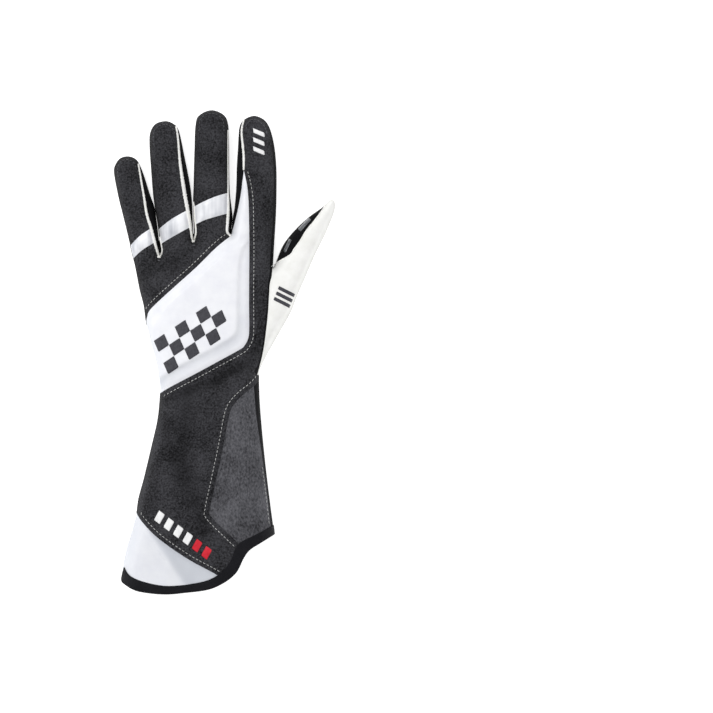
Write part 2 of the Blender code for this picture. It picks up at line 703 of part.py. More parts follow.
def make_pads(shell):
    for finger, row in FINGER_PADS.items():
        shift, spread = row[8:]
        pad(shell, f"tip_pad_{finger}", chevron(finger, row[0], row[1], shift, spread), "silicone")
        pad(shell, f"joint_pad_{finger}", chevron(finger, row[2], row[3], shift, spread), "silicone")
        line_loop(shell, f"joint_outline_{finger}",
                  chevron(finger, row[4], row[5], shift, spread, OUTLINE_LEG_INSIDE))
        pad(shell, f"root_pad_{finger}", chevron(finger, row[6], row[7], shift, spread), "silicone")
    for name, places in PALM_PADS.items():
        pad(shell, name, [on_hand(*place) for place in places], "silicone")
    for name, places in THUMB_PADS.items():
        pad(shell, name, [on_thumb(*place) for place in places], "silicone")


def make_palm_lines(shell):
    for place in range(BAR_COUNT):
        across = BAR_FIRST[0] + BAR_STEP[0] * place
        along = BAR_FIRST[1] + BAR_STEP[1] * place
        wide, high = BAR_SIZE
        bar = [on_hand(across, along), on_hand(across + wide, along),
               on_hand(across + wide + BAR_LEAN, along + high), on_hand(across + BAR_LEAN, along + high)]
        line_loop(shell, f"palm_bar_{place + 1}", bar)
    for name, (across, along, radius) in HEXAGONS.items():
        x, y = on_hand(across, along)
        reach = radius * HAND_WIDTH
        line_loop(shell, name, [(x + reach * cos(pi * side / 3), y + reach * sin(pi * side / 3))
                                for side in range(6)])


def centre_outline(items):
    """Move everything so that the origin lies under the middle of the outline."""
    places = [vertex.co for item in items for vertex in item.data.vertices]
    middle = [(min(place[axis] for place in places) + max(place[axis] for place in places)) / 2
              for axis in (0, 1)]
    for item in items:
        for vertex in item.data.vertices:
            vertex.co.x -= middle[0]
            vertex.co.y -= middle[1]


clear_scene()
parts = new_collection("karting_glove")
cutters = new_collection("cutters")
shell = make_shell(parts, cutters)
cut_cuff(shell)
cut_palm(shell)
cut_fingers(shell)
cut_back(shell)
cut_long_panel(shell)
cut_thumb(shell)
cut_fourchettes(shell)
make_pads(shell)
make_palm_lines(shell)
bpy.data.objects.remove(shell.rest, do_unlink=True)
centre_outline(list(parts.objects))
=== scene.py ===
import bpy
import bmesh
import json
import math
import numpy as np
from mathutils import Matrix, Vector, noise
from mathutils.bvhtree import BVHTree
from mathutils.geometry import delaunay_2d_cdt
from mathutils.kdtree import KDTree


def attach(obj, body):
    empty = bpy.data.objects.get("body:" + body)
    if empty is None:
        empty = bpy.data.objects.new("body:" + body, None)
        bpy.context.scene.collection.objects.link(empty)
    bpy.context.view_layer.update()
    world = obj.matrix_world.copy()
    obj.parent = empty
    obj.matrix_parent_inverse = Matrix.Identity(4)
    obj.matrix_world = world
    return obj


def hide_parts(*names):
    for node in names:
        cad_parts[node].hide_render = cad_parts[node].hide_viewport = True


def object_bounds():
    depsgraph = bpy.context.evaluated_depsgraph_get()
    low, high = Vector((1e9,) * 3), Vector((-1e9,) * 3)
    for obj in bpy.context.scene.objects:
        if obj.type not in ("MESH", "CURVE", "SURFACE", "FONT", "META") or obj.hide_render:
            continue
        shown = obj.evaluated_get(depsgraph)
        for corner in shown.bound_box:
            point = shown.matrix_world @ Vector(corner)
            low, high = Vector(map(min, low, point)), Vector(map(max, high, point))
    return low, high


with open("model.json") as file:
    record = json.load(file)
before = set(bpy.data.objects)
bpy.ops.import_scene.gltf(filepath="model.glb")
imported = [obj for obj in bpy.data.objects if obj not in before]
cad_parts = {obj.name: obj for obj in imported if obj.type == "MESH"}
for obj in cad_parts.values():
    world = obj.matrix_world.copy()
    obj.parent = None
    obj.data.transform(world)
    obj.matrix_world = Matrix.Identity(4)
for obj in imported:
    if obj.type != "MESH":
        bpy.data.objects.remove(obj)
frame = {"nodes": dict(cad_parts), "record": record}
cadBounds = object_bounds()
bpy.ops.object.select_all(action="DESELECT")

# Karting glove for the left hand, laid palm down: sewn cloth panels over the CAD's form.
# Places across the glove are pixels of the 713 px photograph, turned to metres by one scale.
photo = {
    "origin": (224.9, 352.0),   # pixel over the frame's origin
    "middle": (356.5, 356.5),   # middle of the picture
    "width": 713,
    "scale": 0.00069,           # metres to a pixel
}

shape = {
    "seamHeight": 0.0039,       # where back and palm meet
    "floorGap": 0.0009,         # palm cloth above the floor, which leaves room for the grip pads
    "wall": 0.0012,
    "spacing": 1.35,            # mm between points in a panel
    "edgeRows": (0.35, 0.85, 1.6, 2.5),   # mm inside the outline
    "topCurve": 2.2,            # how square the back turns down to its edge, and the palm
    "palmCurve": 2.4,
    "palmRound": 0.0035,
    "groove": 0.0009,           # how deep a seam of the back is drawn in, and half its width
    "grooveWidth": 0.0014,
    "puff": 0.0006,             # how the cloth swells between the seams
    "puffWidth": 0.006,
    "calmEdge": 0.004,          # folds fade out over this width at the outline
    "padRise": 0.0016,          # the raised field of the white panel, and the width of its slope
    "padSlope": 0.0032,
    "palmSeam": 0.0006,         # how far a seam of the palm is drawn in, and half its width
    "palmSeamWidth": 0.0012,
    "sample": 0.00025,          # spacing of the points that stand for a line in a search tree
}


def place(points):   # photo pixels to metres across the glove
    spots = np.array(points, float).reshape(-1, 2)
    return (spots - photo["origin"]) * (photo["scale"], -photo["scale"])


def smoothLine(points, step=0.0011):   # an even curve in metres through photo pixels
    spots = place(points)
    ends = np.vstack([2 * spots[0] - spots[1], spots, 2 * spots[-1] - spots[-2]])
    fine = []
    for i in range(len(spots) - 1):
        a, b, c, d = ends[i:i + 4]
        for t in np.linspace(0, 1, 16, endpoint=False):
            fine.append(0.5 * (2 * b + (c - a) * t + (2 * a - 5 * b + 4 * c - d) * t * t
                               + (3 * b - a - 3 * c + d) * t ** 3))
    fine.append(spots[-1])
    return evenly(np.array(fine), step)


def evenly(line, step):   # the same line with its points a step apart
    runs = np.linalg.norm(np.diff(line, axis=0), axis=1)
    along = np.concatenate([[0], np.cumsum(runs)])
    count = max(2, int(round(along[-1] / step)) + 1)
    marks = np.linspace(0, along[-1], count)
    return np.stack([np.interp(marks, along, line[:, k]) for k in range(line.shape[1])], axis=1)


def unit(vectors):   # the same directions, one metre long
    return vectors / np.linalg.norm(vectors, axis=-1, keepdims=True)


def stepsAlong(line):   # the direction of a line at each of its points
    return unit(np.gradient(line, axis=0))


def inwardOf(line):   # directions to the right of a line's way, which is into the glove on its outline
    ahead = stepsAlong(line)
    return np.column_stack([ahead[:, 1], -ahead[:, 0]])


# The glove's outline, clockwise from the cuff's left corner, seen from above
outline = {
    "leftEdge": [(121.5, 579), (122.6, 567.5), (126.2, 549.7), (131.7, 531), (136, 514), (138.2, 499),
                 (143.8, 478.1), (151.1, 447.4), (157.6, 418.2), (159.9, 391), (158.9, 377.8),
                 (155.7, 360.4), (150.6, 342), (147.6, 329.8), (145.5, 320.6), (143.5, 305.3),
                 (139.4, 289), (134.8, 265.5), (131.1, 251.2), (128.9, 240), (123.1, 215.9),
                 (118, 195.3), (113.8, 172), (115.6, 163.5), (120.5, 157.8), (128, 156.3),
                 (134.6, 158.6), (138.6, 164), (143.4, 176), (149.4, 195), (153.7, 207), (156, 222),
                 (157.9, 238), (158.9, 250), (159.4, 255)],
    "ring": [(160.2, 255), (160.1, 250), (159.3, 238), (157.2, 222), (154.7, 207), (152.9, 193),
             (151, 168.9), (149.4, 145), (150.2, 132), (155.5, 123.6), (165.8, 121), (174.5, 124.8),
             (178.6, 132), (184, 157.4), (189.4, 185), (191.4, 203), (192, 220), (192.6, 232),
             (193.3, 240)],
    "middle": [(194.1, 240), (194, 232), (193.4, 218), (193, 203), (193.6, 185), (194.4, 151.7),
               (195.6, 124), (199.5, 114.8), (211.4, 110), (223.3, 114.8), (227.5, 124.5),
               (228.4, 143.8), (228.6, 170.9), (229.2, 192), (230.8, 206), (231.9, 216),
               (230.9, 226), (230.2, 233.5)],
    "index": [(231, 233.5), (231.8, 226), (233, 216), (234.7, 207.1), (236.3, 188.1), (236.9, 167),
              (238, 149), (239.4, 128), (243, 120.5), (250, 116.4), (256.5, 116), (264.5, 120.3),
              (269.8, 129.5), (273.8, 146), (275.8, 167), (276, 190), (275.4, 214.3),
              (273.8, 241.4), (272.6, 262), (272.3, 267.5)],
    "thumb": [(273, 267.5), (275.1, 264.4), (281.5, 247.9), (288.4, 237.1), (298.2, 226.3),
              (309, 216.5), (322, 207.2), (328.5, 201), (332.5, 199.2), (335, 203.5), (333.8, 212),
              (330.6, 220.5), (323.7, 236.5), (313.9, 256.5), (304.2, 279), (297.4, 294.5),
              (289.9, 313.2), (278.5, 333.5), (266.5, 355), (261, 366), (258.6, 374.4),
              (259, 399.2), (261.2, 428.4), (264.9, 465), (269.3, 501.5), (273.7, 534.5)],
}
mouth = [(273.7, 534.5), (262, 541), (250.3, 548.3), (243, 558.5), (237.1, 570.2), (226.6, 579.4),
         (212.1, 586.4), (191.8, 589.9), (165.7, 592), (139.6, 589.2), (125.2, 583.2), (121.5, 579)]
shelf = [(272.6, 525.5), (256.5, 533.5), (241.5, 541), (235.2, 550), (231.5, 559.5), (222.5, 570.8),
         (208.4, 578.6), (190.4, 582.3), (167.5, 584.1), (146.5, 580.6), (131.5, 574.6), (124.3, 566)]

# Seams of the back
backSeams = {
    "pinkySide": [(136.4, 159), (138.6, 168), (143.2, 192.8), (147, 215), (150.6, 227), (154, 240),
                  (156.9, 251), (159.3, 258)],
    "ringLeft": [(152, 201), (154.9, 209), (158, 226.5), (160.6, 240), (162.6, 250), (161.6, 254.5),
                 (159.3, 258)],
    "ringSide": [(174.9, 123.5), (177.5, 138), (180.2, 165), (184.6, 194.4), (186.9, 207.4),
                 (189, 219), (190.7, 230.3), (191.6, 238), (193.7, 242.4)],
    "middleLeft": [(191.5, 197), (194.1, 203), (194.8, 215), (196, 226.5), (196.2, 234.2),
                   (193.7, 242.4)],
    "middleSide": [(226.2, 116), (227.3, 128), (227.4, 155.8), (227.7, 189.3), (228.2, 207.1),
                   (227.3, 222.7), (227, 232), (230.6, 236.4)],
    "indexSide": [(245.6, 116.5), (242.6, 126), (242, 134), (243, 144.6), (244, 156),
                  (244, 170.4)],
    "strip": [(244, 170.4), (242.6, 181), (240.8, 194.8), (238, 209.3), (234.7, 222.7),
              (230.6, 236.4)],
    "knuckles": [(144, 328), (147.2, 317), (149.4, 311.2), (158.7, 301.7), (177.8, 284.4),
                 (197, 267.2), (214.2, 250), (224, 241.5), (230.6, 236.4)],
    "whiteRight": [(244, 170.4), (247, 184.8), (248.6, 200.4), (249.2, 222.7), (249.5, 250),
                   (249.3, 300), (249.5, 328), (248.6, 338), (244.8, 345.7), (240, 349.7),
                   (218, 361.8), (197, 373.2), (171.1, 386.8), (157, 395)],
    "indexOuter": [(262.5, 116.5), (268.4, 127.5), (272, 147), (273.7, 167), (273.9, 190),
                   (273.2, 214.3), (271.5, 241.4), (270, 262), (269.9, 272), (268.2, 284),
                   (267.5, 296), (266.1, 316.6), (263.2, 341), (260.6, 355.2), (257.8, 365),
                   (254.5, 372), (261, 377)],
    "thumbSeam": [(272.6, 265), (271.8, 276.4), (270, 284.2), (269.3, 296), (267.9, 316.6),
                  (265, 341), (262.4, 355.2), (260, 364.8), (257, 376)],
    "thumbInner": [(327, 201), (322.7, 209.6), (313.9, 221.4), (306, 231.2), (300.1, 241),
                   (294.3, 248.9), (290.5, 254.8), (281.5, 260), (271, 266.5)],
    "insert": [(262, 377.5), (254, 386.1), (241.5, 396.3), (232.9, 406.5), (229.1, 418.2),
               (224, 446), (216.7, 481), (211, 508), (212.6, 516.1), (238.6, 541.7), (250, 553.5)],
    "insertRight": [(252.6, 383.2), (254, 387), (255, 400), (256.8, 418.2), (260.3, 443.1), (263.4, 465),
                    (266.6, 490), (272, 536)],
    "corner": [(134, 509), (140, 517.6), (153.8, 532.2), (168.4, 543.9), (190.4, 558.5),
               (212.3, 570.2), (219, 574), (227, 579.5)],
    "pinkyBandTop": [(126, 248.6), (131.4, 244.3), (140.2, 235.9), (149.4, 229.4), (152, 228)],
    "pinkyBandEnd": [(129.5, 261), (135.2, 256.4), (143.3, 249.6), (154.2, 242.8), (157, 241)],
    "ringBandTop": [(156.5, 230.8), (158.6, 229.2), (172.3, 218.9), (186.1, 211), (189, 209.5)],
    "ringBandEnd": [(159, 245.5), (162, 243.4), (173.9, 236.4), (188.4, 228.2), (192, 226.5)],
    "middleBandTop": [(191, 208.3), (193, 207.2), (205, 201.2), (216, 196.6), (227.6, 193), (230, 192.5)],
    "middleBandEnd": [(192, 226.3), (194.5, 225), (205, 220.2), (216, 216.8), (227.6, 213.6),
                      (230, 213)],
}

# Seams of the palm side, seen through the glove from above
palmSeams = {
    "wrist": [(156, 386), (190, 385.2), (225, 385), (256, 384), (264, 383)],
    "wrap": [(223.6, 387.2), (240, 362), (258, 342), (279.4, 302), (296.8, 272.6), (313.8, 243),
             (329, 217.6), (338, 206)],
    "stripeLeft": [(237.5, 386), (263.3, 340.6), (277.9, 314.2), (290.8, 290.1), (306.5, 262.4)],
    "stripeRight": [(246.7, 386), (267, 342.6), (280.8, 315.7), (292.8, 291.2), (306.5, 262.4)],
    "gusset": [(254, 381.5), (256.5, 435.9), (263.5, 500), (269.5, 538)],
}
panelEnd = [(x, y - 4) for x, y in mouth]   # the cloth stops inside the binding

outlineLines, backLines, palmLines = [{name: smoothLine(points) for name, points in table.items()}
                                      for table in (outline, backSeams, palmSeams)]
endLine = smoothLine([(279, 528)] + panelEnd[1:-1] + [(115, 569)])
emboss = smoothLine([(250, 238), (242.8, 262), (241, 300), (240.6, 325), (238, 335), (230, 342.5),
                     (205, 356.5), (180, 370), (158, 383)])
gloveLoop = np.vstack(list(outlineLines.values()) + [smoothLine(mouth)])
print("glove: outline and seams drawn")


# Height of the back and the palm over the plan
def treeOf(lines):   # a search tree over the points of some lines
    spots = np.vstack([evenly(line, shape["sample"]) for line in lines])
    tree = KDTree(len(spots))
    for i, (x, y) in enumerate(spots):
        tree.insert((x, y, 0), i)
    tree.balance()
    return tree


def distances(tree, spots):   # from each spot to the nearest point of a tree
    return np.array([tree.find((x, y, 0))[2] for x, y in spots])


def edgeDepth(spots):   # how far inside the outline, and exactly 0 on it, between its samples too
    half = shape["sample"] * 0.52
    return np.sqrt(np.maximum(distances(outlineTree, spots) ** 2 - half ** 2, 0))


def bell(gap, width):   # 1 on a line, and next to nothing at two widths from it
    return np.exp(-(gap / width) ** 2)


def fade(gap, width):   # 1 on a line, and 0 from one width on
    return np.clip(1 - gap / width, 0, 1)


def rounded(share, power):   # rises steeply from 0 and flattens out at 1
    return (1 - (1 - share) ** power) ** (1 / power)


heightGrid = {
    "cell": 0.0015,
    "margin": 0.009,
    "grow": 3,                  # cells by which the glove's middle heights spread over its edges
    "smooth": 9,                # rounds of smoothing
}


def cadHeights():   # the CAD's back, smoothed, on a grid
    bodies = bmesh.new()
    for node in frame["nodes"].values():
        bodies.from_mesh(node.data)
    tree = BVHTree.FromBMesh(bodies)
    bodies.free()
    low, high = np.array(cadBounds[0]), np.array(cadBounds[1])
    across, along = [np.arange(low[axis] - heightGrid["margin"], high[axis] + heightGrid["margin"],
                               heightGrid["cell"]) for axis in (0, 1)]
    heights = np.full((len(along), len(across)), np.nan)
    for j, y in enumerate(along):
        for i, x in enumerate(across):
            hit = tree.ray_cast(Vector((x, y, high[2] + 0.01)), Vector((0, 0, -1)))[0]
            if hit is not None:
                heights[j, i] = hit.z
    filled = np.where(np.isnan(heights), 0, heights)
    for _ in range(heightGrid["grow"]):
        filled = np.maximum.reduce([np.roll(np.roll(filled, a, 0), b, 1)
                                    for a, b in ((0, 0), (0, 1), (0, -1), (1, 0), (-1, 0))])
    known = (filled > 0).astype(float)
    for _ in range(heightGrid["smooth"]):
        filled = sum(np.roll(filled * known, s, axis) for axis in (0, 1) for s in (-1, 0, 1))
        weight = sum(np.roll(known, s, axis) for axis in (0, 1) for s in (-1, 0, 1))
        filled = np.where(weight > 0, filled / np.maximum(weight, 1), 0)
        known = np.minimum(weight, 1)
    return across, along, filled


gridAcross, gridAlong, gridHeights = cadHeights()
outlineTree = treeOf(outlineLines.values())
seamTree = treeOf(backLines.values())
palmSeamTree = treeOf(palmLines.values())
print("glove: form read from the CAD")


def gridAt(spots):   # the grid's height at each spot
    x, y = [np.clip((spots[:, axis] - marks[0]) / (marks[1] - marks[0]), 0, len(marks) - 1.001)
            for axis, marks in enumerate((gridAcross, gridAlong))]
    i, j = x.astype(int), y.astype(int)
    u, v = x - i, y - j
    g = gridHeights
    return (g[j, i] * (1 - u) * (1 - v) + g[j, i + 1] * u * (1 - v)
            + g[j + 1, i] * (1 - u) * v + g[j + 1, i + 1] * u * v)


def fieldNoise(spots, sizeX, sizeY, seed):   # smooth waves, from -1 to 1
    return np.array([noise.noise(Vector((x / sizeX, y / sizeY, seed))) for x, y in spots])


def inside(loop, spots):   # which spots lie in a closed loop
    found = np.zeros(len(spots), bool)
    ends = np.roll(loop, -1, axis=0)
    for (ax, ay), (bx, by) in zip(loop, ends):
        if ay == by:
            continue
        crosses = (spots[:, 1] < max(ay, by)) & (spots[:, 1] >= min(ay, by))
        found ^= crosses & (spots[:, 0] < ax + (spots[:, 1] - ay) * (bx - ax) / (by - ay))
    return found


softFolds = {
    # name: (line in photo pixels, rise in mm, half width in mm)
    "cornerRidge": ([(139, 516), (158, 545), (186, 583)], 1.3, 4.5),
    "gauntletValley": ([(190, 392), (186, 425), (184, 455), (193, 490), (205, 530)], -1.1, 6.0),
    "gauntletRidge": ([(214, 396), (206, 430), (203, 470), (196, 515)], 0.8, 5.0),
    "insertRidge": ([(243, 410), (246, 450), (243, 500), (240, 530)], 0.8, 5.5),
    "leftValley": ([(171, 424), (167, 438), (175, 461), (182, 482)], -0.8, 5.0),
    "wristPucker": ([(240, 366), (222, 378), (196, 388), (170, 399)], -0.9, 3.5),
    "wristFold": ([(254, 352), (243, 366), (228, 374), (212, 386)], -0.8, 3.0),
    "knuckleValley": ([(188, 251), (174, 263), (158, 270), (141, 275)], -0.7, 4.0),
}
waves = (   # rise, length across and along the glove, seed, share on the hand and on the cuff
    (0.0007, 0.020, 0.055, 1.7, 0.35, 1.45),
    (0.0004, 0.011, 0.022, 5.2, 0.35, 1.45),
    (0.00030, 0.012, 0.006, 9.1, 1.0, 0.5),
    (0.00018, 0.004, 0.004, 3.3, 1.0, 0.5),
)
foldTrees = [(treeOf([smoothLine(points)]), rise * 0.001, wide * 0.001)
             for points, rise, wide in softFolds.values()]
whitePad = np.vstack([emboss, place([(150, 372), (148, 325), (165, 303), (225, 250)])])
padTree = treeOf([np.vstack([whitePad, whitePad[:1]])])


def backHeight(spots, seams=True):   # of the outer face of the back
    spots = np.asarray(spots, float)
    depth = edgeDepth(spots)
    full = gridAt(spots)
    reach = 0.5 * (full - shape["seamHeight"]) + 0.0022
    share = np.clip(depth / reach, 0, 1)
    height = shape["seamHeight"] + (full - shape["seamHeight"]) * rounded(share, shape["topCurve"])
    cuffShare = np.clip((-0.022 - spots[:, 1]) / 0.06, 0, 1)   # 0 on the hand, 1 on the gauntlet
    edge = np.clip(depth / shape["calmEdge"], 0, 1)
    for rise, sizeX, sizeY, seed, onHand, onCuff in waves:
        part = onHand + (onCuff - onHand) * cuffShare
        height += edge * part * rise * fieldNoise(spots, sizeX, sizeY, seed)
    for tree, rise, wide in foldTrees:
        height += edge * rise * bell(distances(tree, spots), wide)
    if seams:
        gap = distances(seamTree, spots)
        height -= edge * shape["groove"] * bell(gap, shape["grooveWidth"])
        height += edge * shape["puff"] * (1 - np.exp(-gap / shape["puffWidth"]))
    rim = distances(padTree, spots)
    raised = np.where(inside(whitePad, spots), np.clip(rim / shape["padSlope"], 0, 1), 0)
    height += shape["padRise"] * raised * raised * (3 - 2 * raised)
    return np.maximum(height, shape["seamHeight"] - 0.0004)


def palmHeight(spots):   # of the outer face of the palm
    spots = np.asarray(spots, float)
    depth = edgeDepth(spots)
    share = np.clip(depth / shape["palmRound"], 0, 1)
    drop = shape["seamHeight"] - shape["floorGap"]
    height = shape["seamHeight"] - drop * rounded(share, shape["palmCurve"])
    height += shape["palmSeam"] * bell(distances(palmSeamTree, spots), shape["palmSeamWidth"])
    height += 0.00025 * np.clip(depth / shape["calmEdge"], 0, 1) * (1 + fieldNoise(spots, 0.014, 0.014, 7.7))
    return height


def lifted(spots, height=backHeight, rise=0.0):   # spots on a surface, with its normals
    spots = np.asarray(spots, float)
    step = 0.0004
    here = height(spots)
    slopeX = (height(spots + (step, 0)) - height(spots - (step, 0))) / (2 * step)
    slopeY = (height(spots + (0, step)) - height(spots - (0, step))) / (2 * step)
    normals = unit(np.stack([-slopeX, -slopeY, np.ones(len(spots))], axis=1))
    if height is palmHeight:
        normals = -normals
    return np.column_stack([spots, here]) + normals * rise, normals


# Cutting the plan into panels
def planPoints(lines, margin=0.0007):   # a fine spread of points that keeps clear of the lines
    tree = treeOf(lines)
    low, high = np.array(cadBounds[0])[:2] - 0.004, np.array(cadBounds[1])[:2] + 0.004
    step = shape["spacing"] * 0.001
    rows = []
    for k, y in enumerate(np.arange(low[1], high[1], step * 0.866)):
        shift = step / 2 if k % 2 else 0
        row = np.arange(low[0] + shift, high[0], step)
        rows.append(np.column_stack([row, np.full(len(row), y)]))
    spread = np.vstack(rows)
    border = distances(outlineTree, spread)
    last = shape["edgeRows"][-1] * 0.001 + 0.0004
    spread = spread[(border > last) & (distances(tree, spread) > margin)]
    nearEdge = []
    for line in outlineLines.values():
        across = inwardOf(line)
        for depth in shape["edgeRows"]:
            row = line + across * depth * 0.001
            keep = (distances(outlineTree, row) > depth * 0.00097) & (distances(tree, row) > margin * 0.45)
            nearEdge.append(row[keep])
    return np.vstack([spread] + nearEdge)


def sidesOf(face):
    return [tuple(sorted(side)) for side in zip(face, face[1:] + face[:1])]


def cutPlan(seamLines):   # triangles of the plan, with the number of the region that each lies in
    lines = list(outlineLines.values()) + [endLine] + list(seamLines)
    spots, edges = [], []
    count = 0
    for line in lines:
        spots.append(line)
        edges += [(count + i, count + i + 1) for i in range(len(line) - 1)]
        count += len(line)
    ends = [outlineLines[name] for name in ("leftEdge", "ring", "middle", "index", "thumb")]
    starts = np.cumsum([0] + [len(line) for line in ends])
    for k in range(len(ends) - 1):
        edges.append((int(starts[k] + len(ends[k]) - 1), int(starts[k + 1])))   # closes each web
    spots.append(planPoints(lines))
    flat = np.vstack(spots) * 1000
    made = delaunay_2d_cdt([Vector(p) for p in flat], edges, [], 0, 1e-4)
    points = np.array([tuple(p) for p in made[0]]) / 1000
    fixed = {tuple(sorted(edge)) for edge, source in zip(made[1], made[4]) if source}
    faces = [tuple(face) for face in made[2]]
    beside = {}   # the faces on each free side, since a seam parts two regions
    for number, face in enumerate(faces):
        for side in sidesOf(face):
            if side not in fixed:
                beside.setdefault(side, []).append(number)
    region = np.full(len(faces), -1)
    for start in range(len(faces)):
        if region[start] < 0:
            stack = [start]
            region[start] = found = region.max() + 1
            while stack:
                for side in sidesOf(faces[stack.pop()]):
                    for other in beside.get(side, []):
                        if region[other] < 0:
                            region[other] = found
                            stack.append(other)
    return points, faces, region


def regionAt(plan, pixel):   # the region of the triangle under a photo pixel
    points, faces, region = plan
    spot = place([pixel])[0]
    corners = points[np.array(faces)]
    centres = corners.mean(axis=1)
    for number in np.argsort(np.linalg.norm(centres - spot, axis=1))[:12]:
        a, b, c = corners[number]
        sides = [(q[0] - p[0]) * (spot[1] - p[1]) - (q[1] - p[1]) * (spot[0] - p[0])
                 for p, q in ((a, b), (b, c), (c, a))]
        if all(s >= -1e-12 for s in sides) or all(s <= 1e-12 for s in sides):
            return region[number]
    raise ValueError(f"no panel at {pixel}")


def meshPiece(name, points, faces, materials):   # a smooth-shaded object from points and faces
    mesh = bpy.data.meshes.new(name)
    mesh.from_pydata([tuple(p) for p in points], [], faces)
    for one in materials:
        mesh.materials.append(one)
    mesh.shade_smooth()
    mesh.update()
    piece = bpy.data.objects.new(name, mesh)
    bpy.context.scene.collection.objects.link(piece)
    return piece


def applied(piece, kind, **settings):   # adds one modifier and applies it
    step = piece.modifiers.new(kind.title(), kind)
    for key, value in settings.items():
        setattr(step, key, value)
    with bpy.context.temp_override(object=piece, active_object=piece, selected_objects=[piece]):
        bpy.ops.object.modifier_apply(modifier=step.name)
    return piece


def finished(piece, slot, *nodes):   # attaches a piece to the root and hides the CAD nodes that it stands for
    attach(piece, "root")
    if nodes:
        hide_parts(*nodes)
    return piece


# Materials
def linear(colour):   # an sRGB hex colour as the linear values that shaders take
    channels = [int(colour[i:i + 2], 16) / 255 for i in (1, 3, 5)]
    return tuple(c / 12.92 if c <= 0.04045 else ((c + 0.055) / 1.055) ** 2.4 for c in channels) + (1.0,)


def addNode(tree, kind, settings=None, inputs=None, links=None):   # a shader node and what feeds it
    node = tree.nodes.new(kind)
    for key, value in (settings or {}).items():
        setattr(node, key, value)
    for key, value in (inputs or {}).items():
        node.inputs[key].default_value = value
    for key, source in (links or {}).items():
        tree.links.new(source, node.inputs[key])
    return node


def noiseOf(tree, where, size, detail=2.0, roughness=0.5):   # noise with grains of this size in metres
    settings = {"Scale": 1 / size, "Detail": detail, "Roughness": roughness}
    return addNode(tree, "ShaderNodeTexNoise", None, settings, {"Vector": where}).outputs["Fac"]


def colourRamp(tree, source, low, dark, high, light):   # from one colour to the other over a noise
    ramp = addNode(tree, "ShaderNodeValToRGB", links={"Fac": source})
    for stop, position, colour in zip(ramp.color_ramp.elements, (low, high), (dark, light)):
        stop.position = position
        stop.color = linear(colour)
    return ramp.outputs["Color"]


def addBump(tree, shader, height, strength, depth):   # depth in metres
    bump = addNode(tree, "ShaderNodeBump", inputs={"Strength": strength, "Distance": depth},
                   links={"Height": height})
    tree.links.new(bump.outputs["Normal"], shader.inputs["Normal"])


def newMaterial(name, roughness, sheen=0.0, coat=0.0, gloss=0.5):
    made = bpy.data.materials.new(name)
    made.use_nodes = True
    tree = made.node_tree
    shader = tree.nodes["Principled BSDF"]
    shader.inputs["Roughness"].default_value = roughness
    shader.inputs["Sheen Weight"].default_value = sheen
    shader.inputs["Coat Weight"].default_value = coat
    shader.inputs["Specular IOR Level"].default_value = gloss
    return made, tree, shader


def clothMaterial(name, dark, light, roughness, grain, weave, sheen=0.0, stretch=(1, 1, 1), depth=0.00025,
                  bands=0.0, spread=(0.45, 0.90), paintedShadeAndTone=None, gloss=0.12):
    # woven or napped cloth: mottled colour at the size of its grain, and a bump at that of its threads
    made, tree, shader = newMaterial(name, roughness, sheen, gloss=gloss)
    where = addNode(tree, "ShaderNodeTexCoord").outputs["Object"]
    drawn = addNode(tree, "ShaderNodeMapping", inputs={"Scale": stretch}, links={"Vector": where})
    mottle = noiseOf(tree, drawn.outputs[0], grain, 3.0, 0.65)
    cloud = noiseOf(tree, where, 0.018, 3.0)
    both = addNode(tree, "ShaderNodeMath", {"operation": "MULTIPLY_ADD"}, {1: 0.45}, {0: cloud, 2: mottle})
    colour = colourRamp(tree, both.outputs[0], spread[0], dark, spread[1], light)
    if paintedShadeAndTone:   # painted shade, and on the corner the panel's own greyer tone, mixed in where the mesh says so
        amount = addNode(tree, "ShaderNodeAttribute", {"attribute_name": "paintedShadeAndTone"})
        blend = addNode(tree, "ShaderNodeMix", {"data_type": "RGBA"})
        blend.inputs[7].default_value = linear(paintedShadeAndTone)
        tree.links.new(amount.outputs["Fac"], blend.inputs[0])
        tree.links.new(colour, blend.inputs[6])
        colour = blend.outputs[2]
    tree.links.new(colour, shader.inputs["Base Color"])
    total = noiseOf(tree, drawn.outputs[0], weave)
    if bands:
        ribs = addNode(tree, "ShaderNodeTexWave", {"wave_type": "BANDS", "bands_direction": "DIAGONAL"},
                       {"Scale": 0.31 / bands, "Distortion": 2.5, "Detail": 1.0}, {"Vector": where})
        total = addNode(tree, "ShaderNodeMath", {"operation": "MULTIPLY_ADD"}, {1: 0.8},
                        {0: ribs.outputs["Fac"], 2: total}).outputs[0]
    addBump(tree, shader, total, 0.8, depth)
    return made


# Brushed microfibre knit: soft dark nap, mottled where the pile lies in another way; its near-black second
# colour is painted shade where the cloth turns under and in the valleys of the folds
blackCloth = clothMaterial("blackMicrofibre", "#0e0e0f", "#434347", 0.95, 0.0012, 0.0007, sheen=0.03,
                           spread=(0.54, 0.88), paintedShadeAndTone="#050506")
palmCloth = clothMaterial("blackPalmSuede", "#0d0c0c", "#343233", 0.95, 0.0013, 0.0007, sheen=0.03,
                          spread=(0.55, 0.90))
# The black cloth in a darker copy: painted shade on the sides of the fingers, the gussets and the side
# seams, which face away from the light
paintedShadeSideCloth = clothMaterial("blackClothPaintedShade", "#070708", "#17171a", 0.95, 0.0012, 0.0007)
# White synthetic leather cloth: smooth, faintly blue, with a very fine grain; its grey second colour is
# painted shade by the padding, past the corner's ridge and where the panels turn under, and on the corner
# also the panel's own greyer tone
whiteCloth = clothMaterial("whiteSyntheticLeather", "#ebecf3", "#f4f5f9", 0.5, 0.012, 0.0009, depth=0.00004,
                          paintedShadeAndTone="#b4b9c2", gloss=0.5)
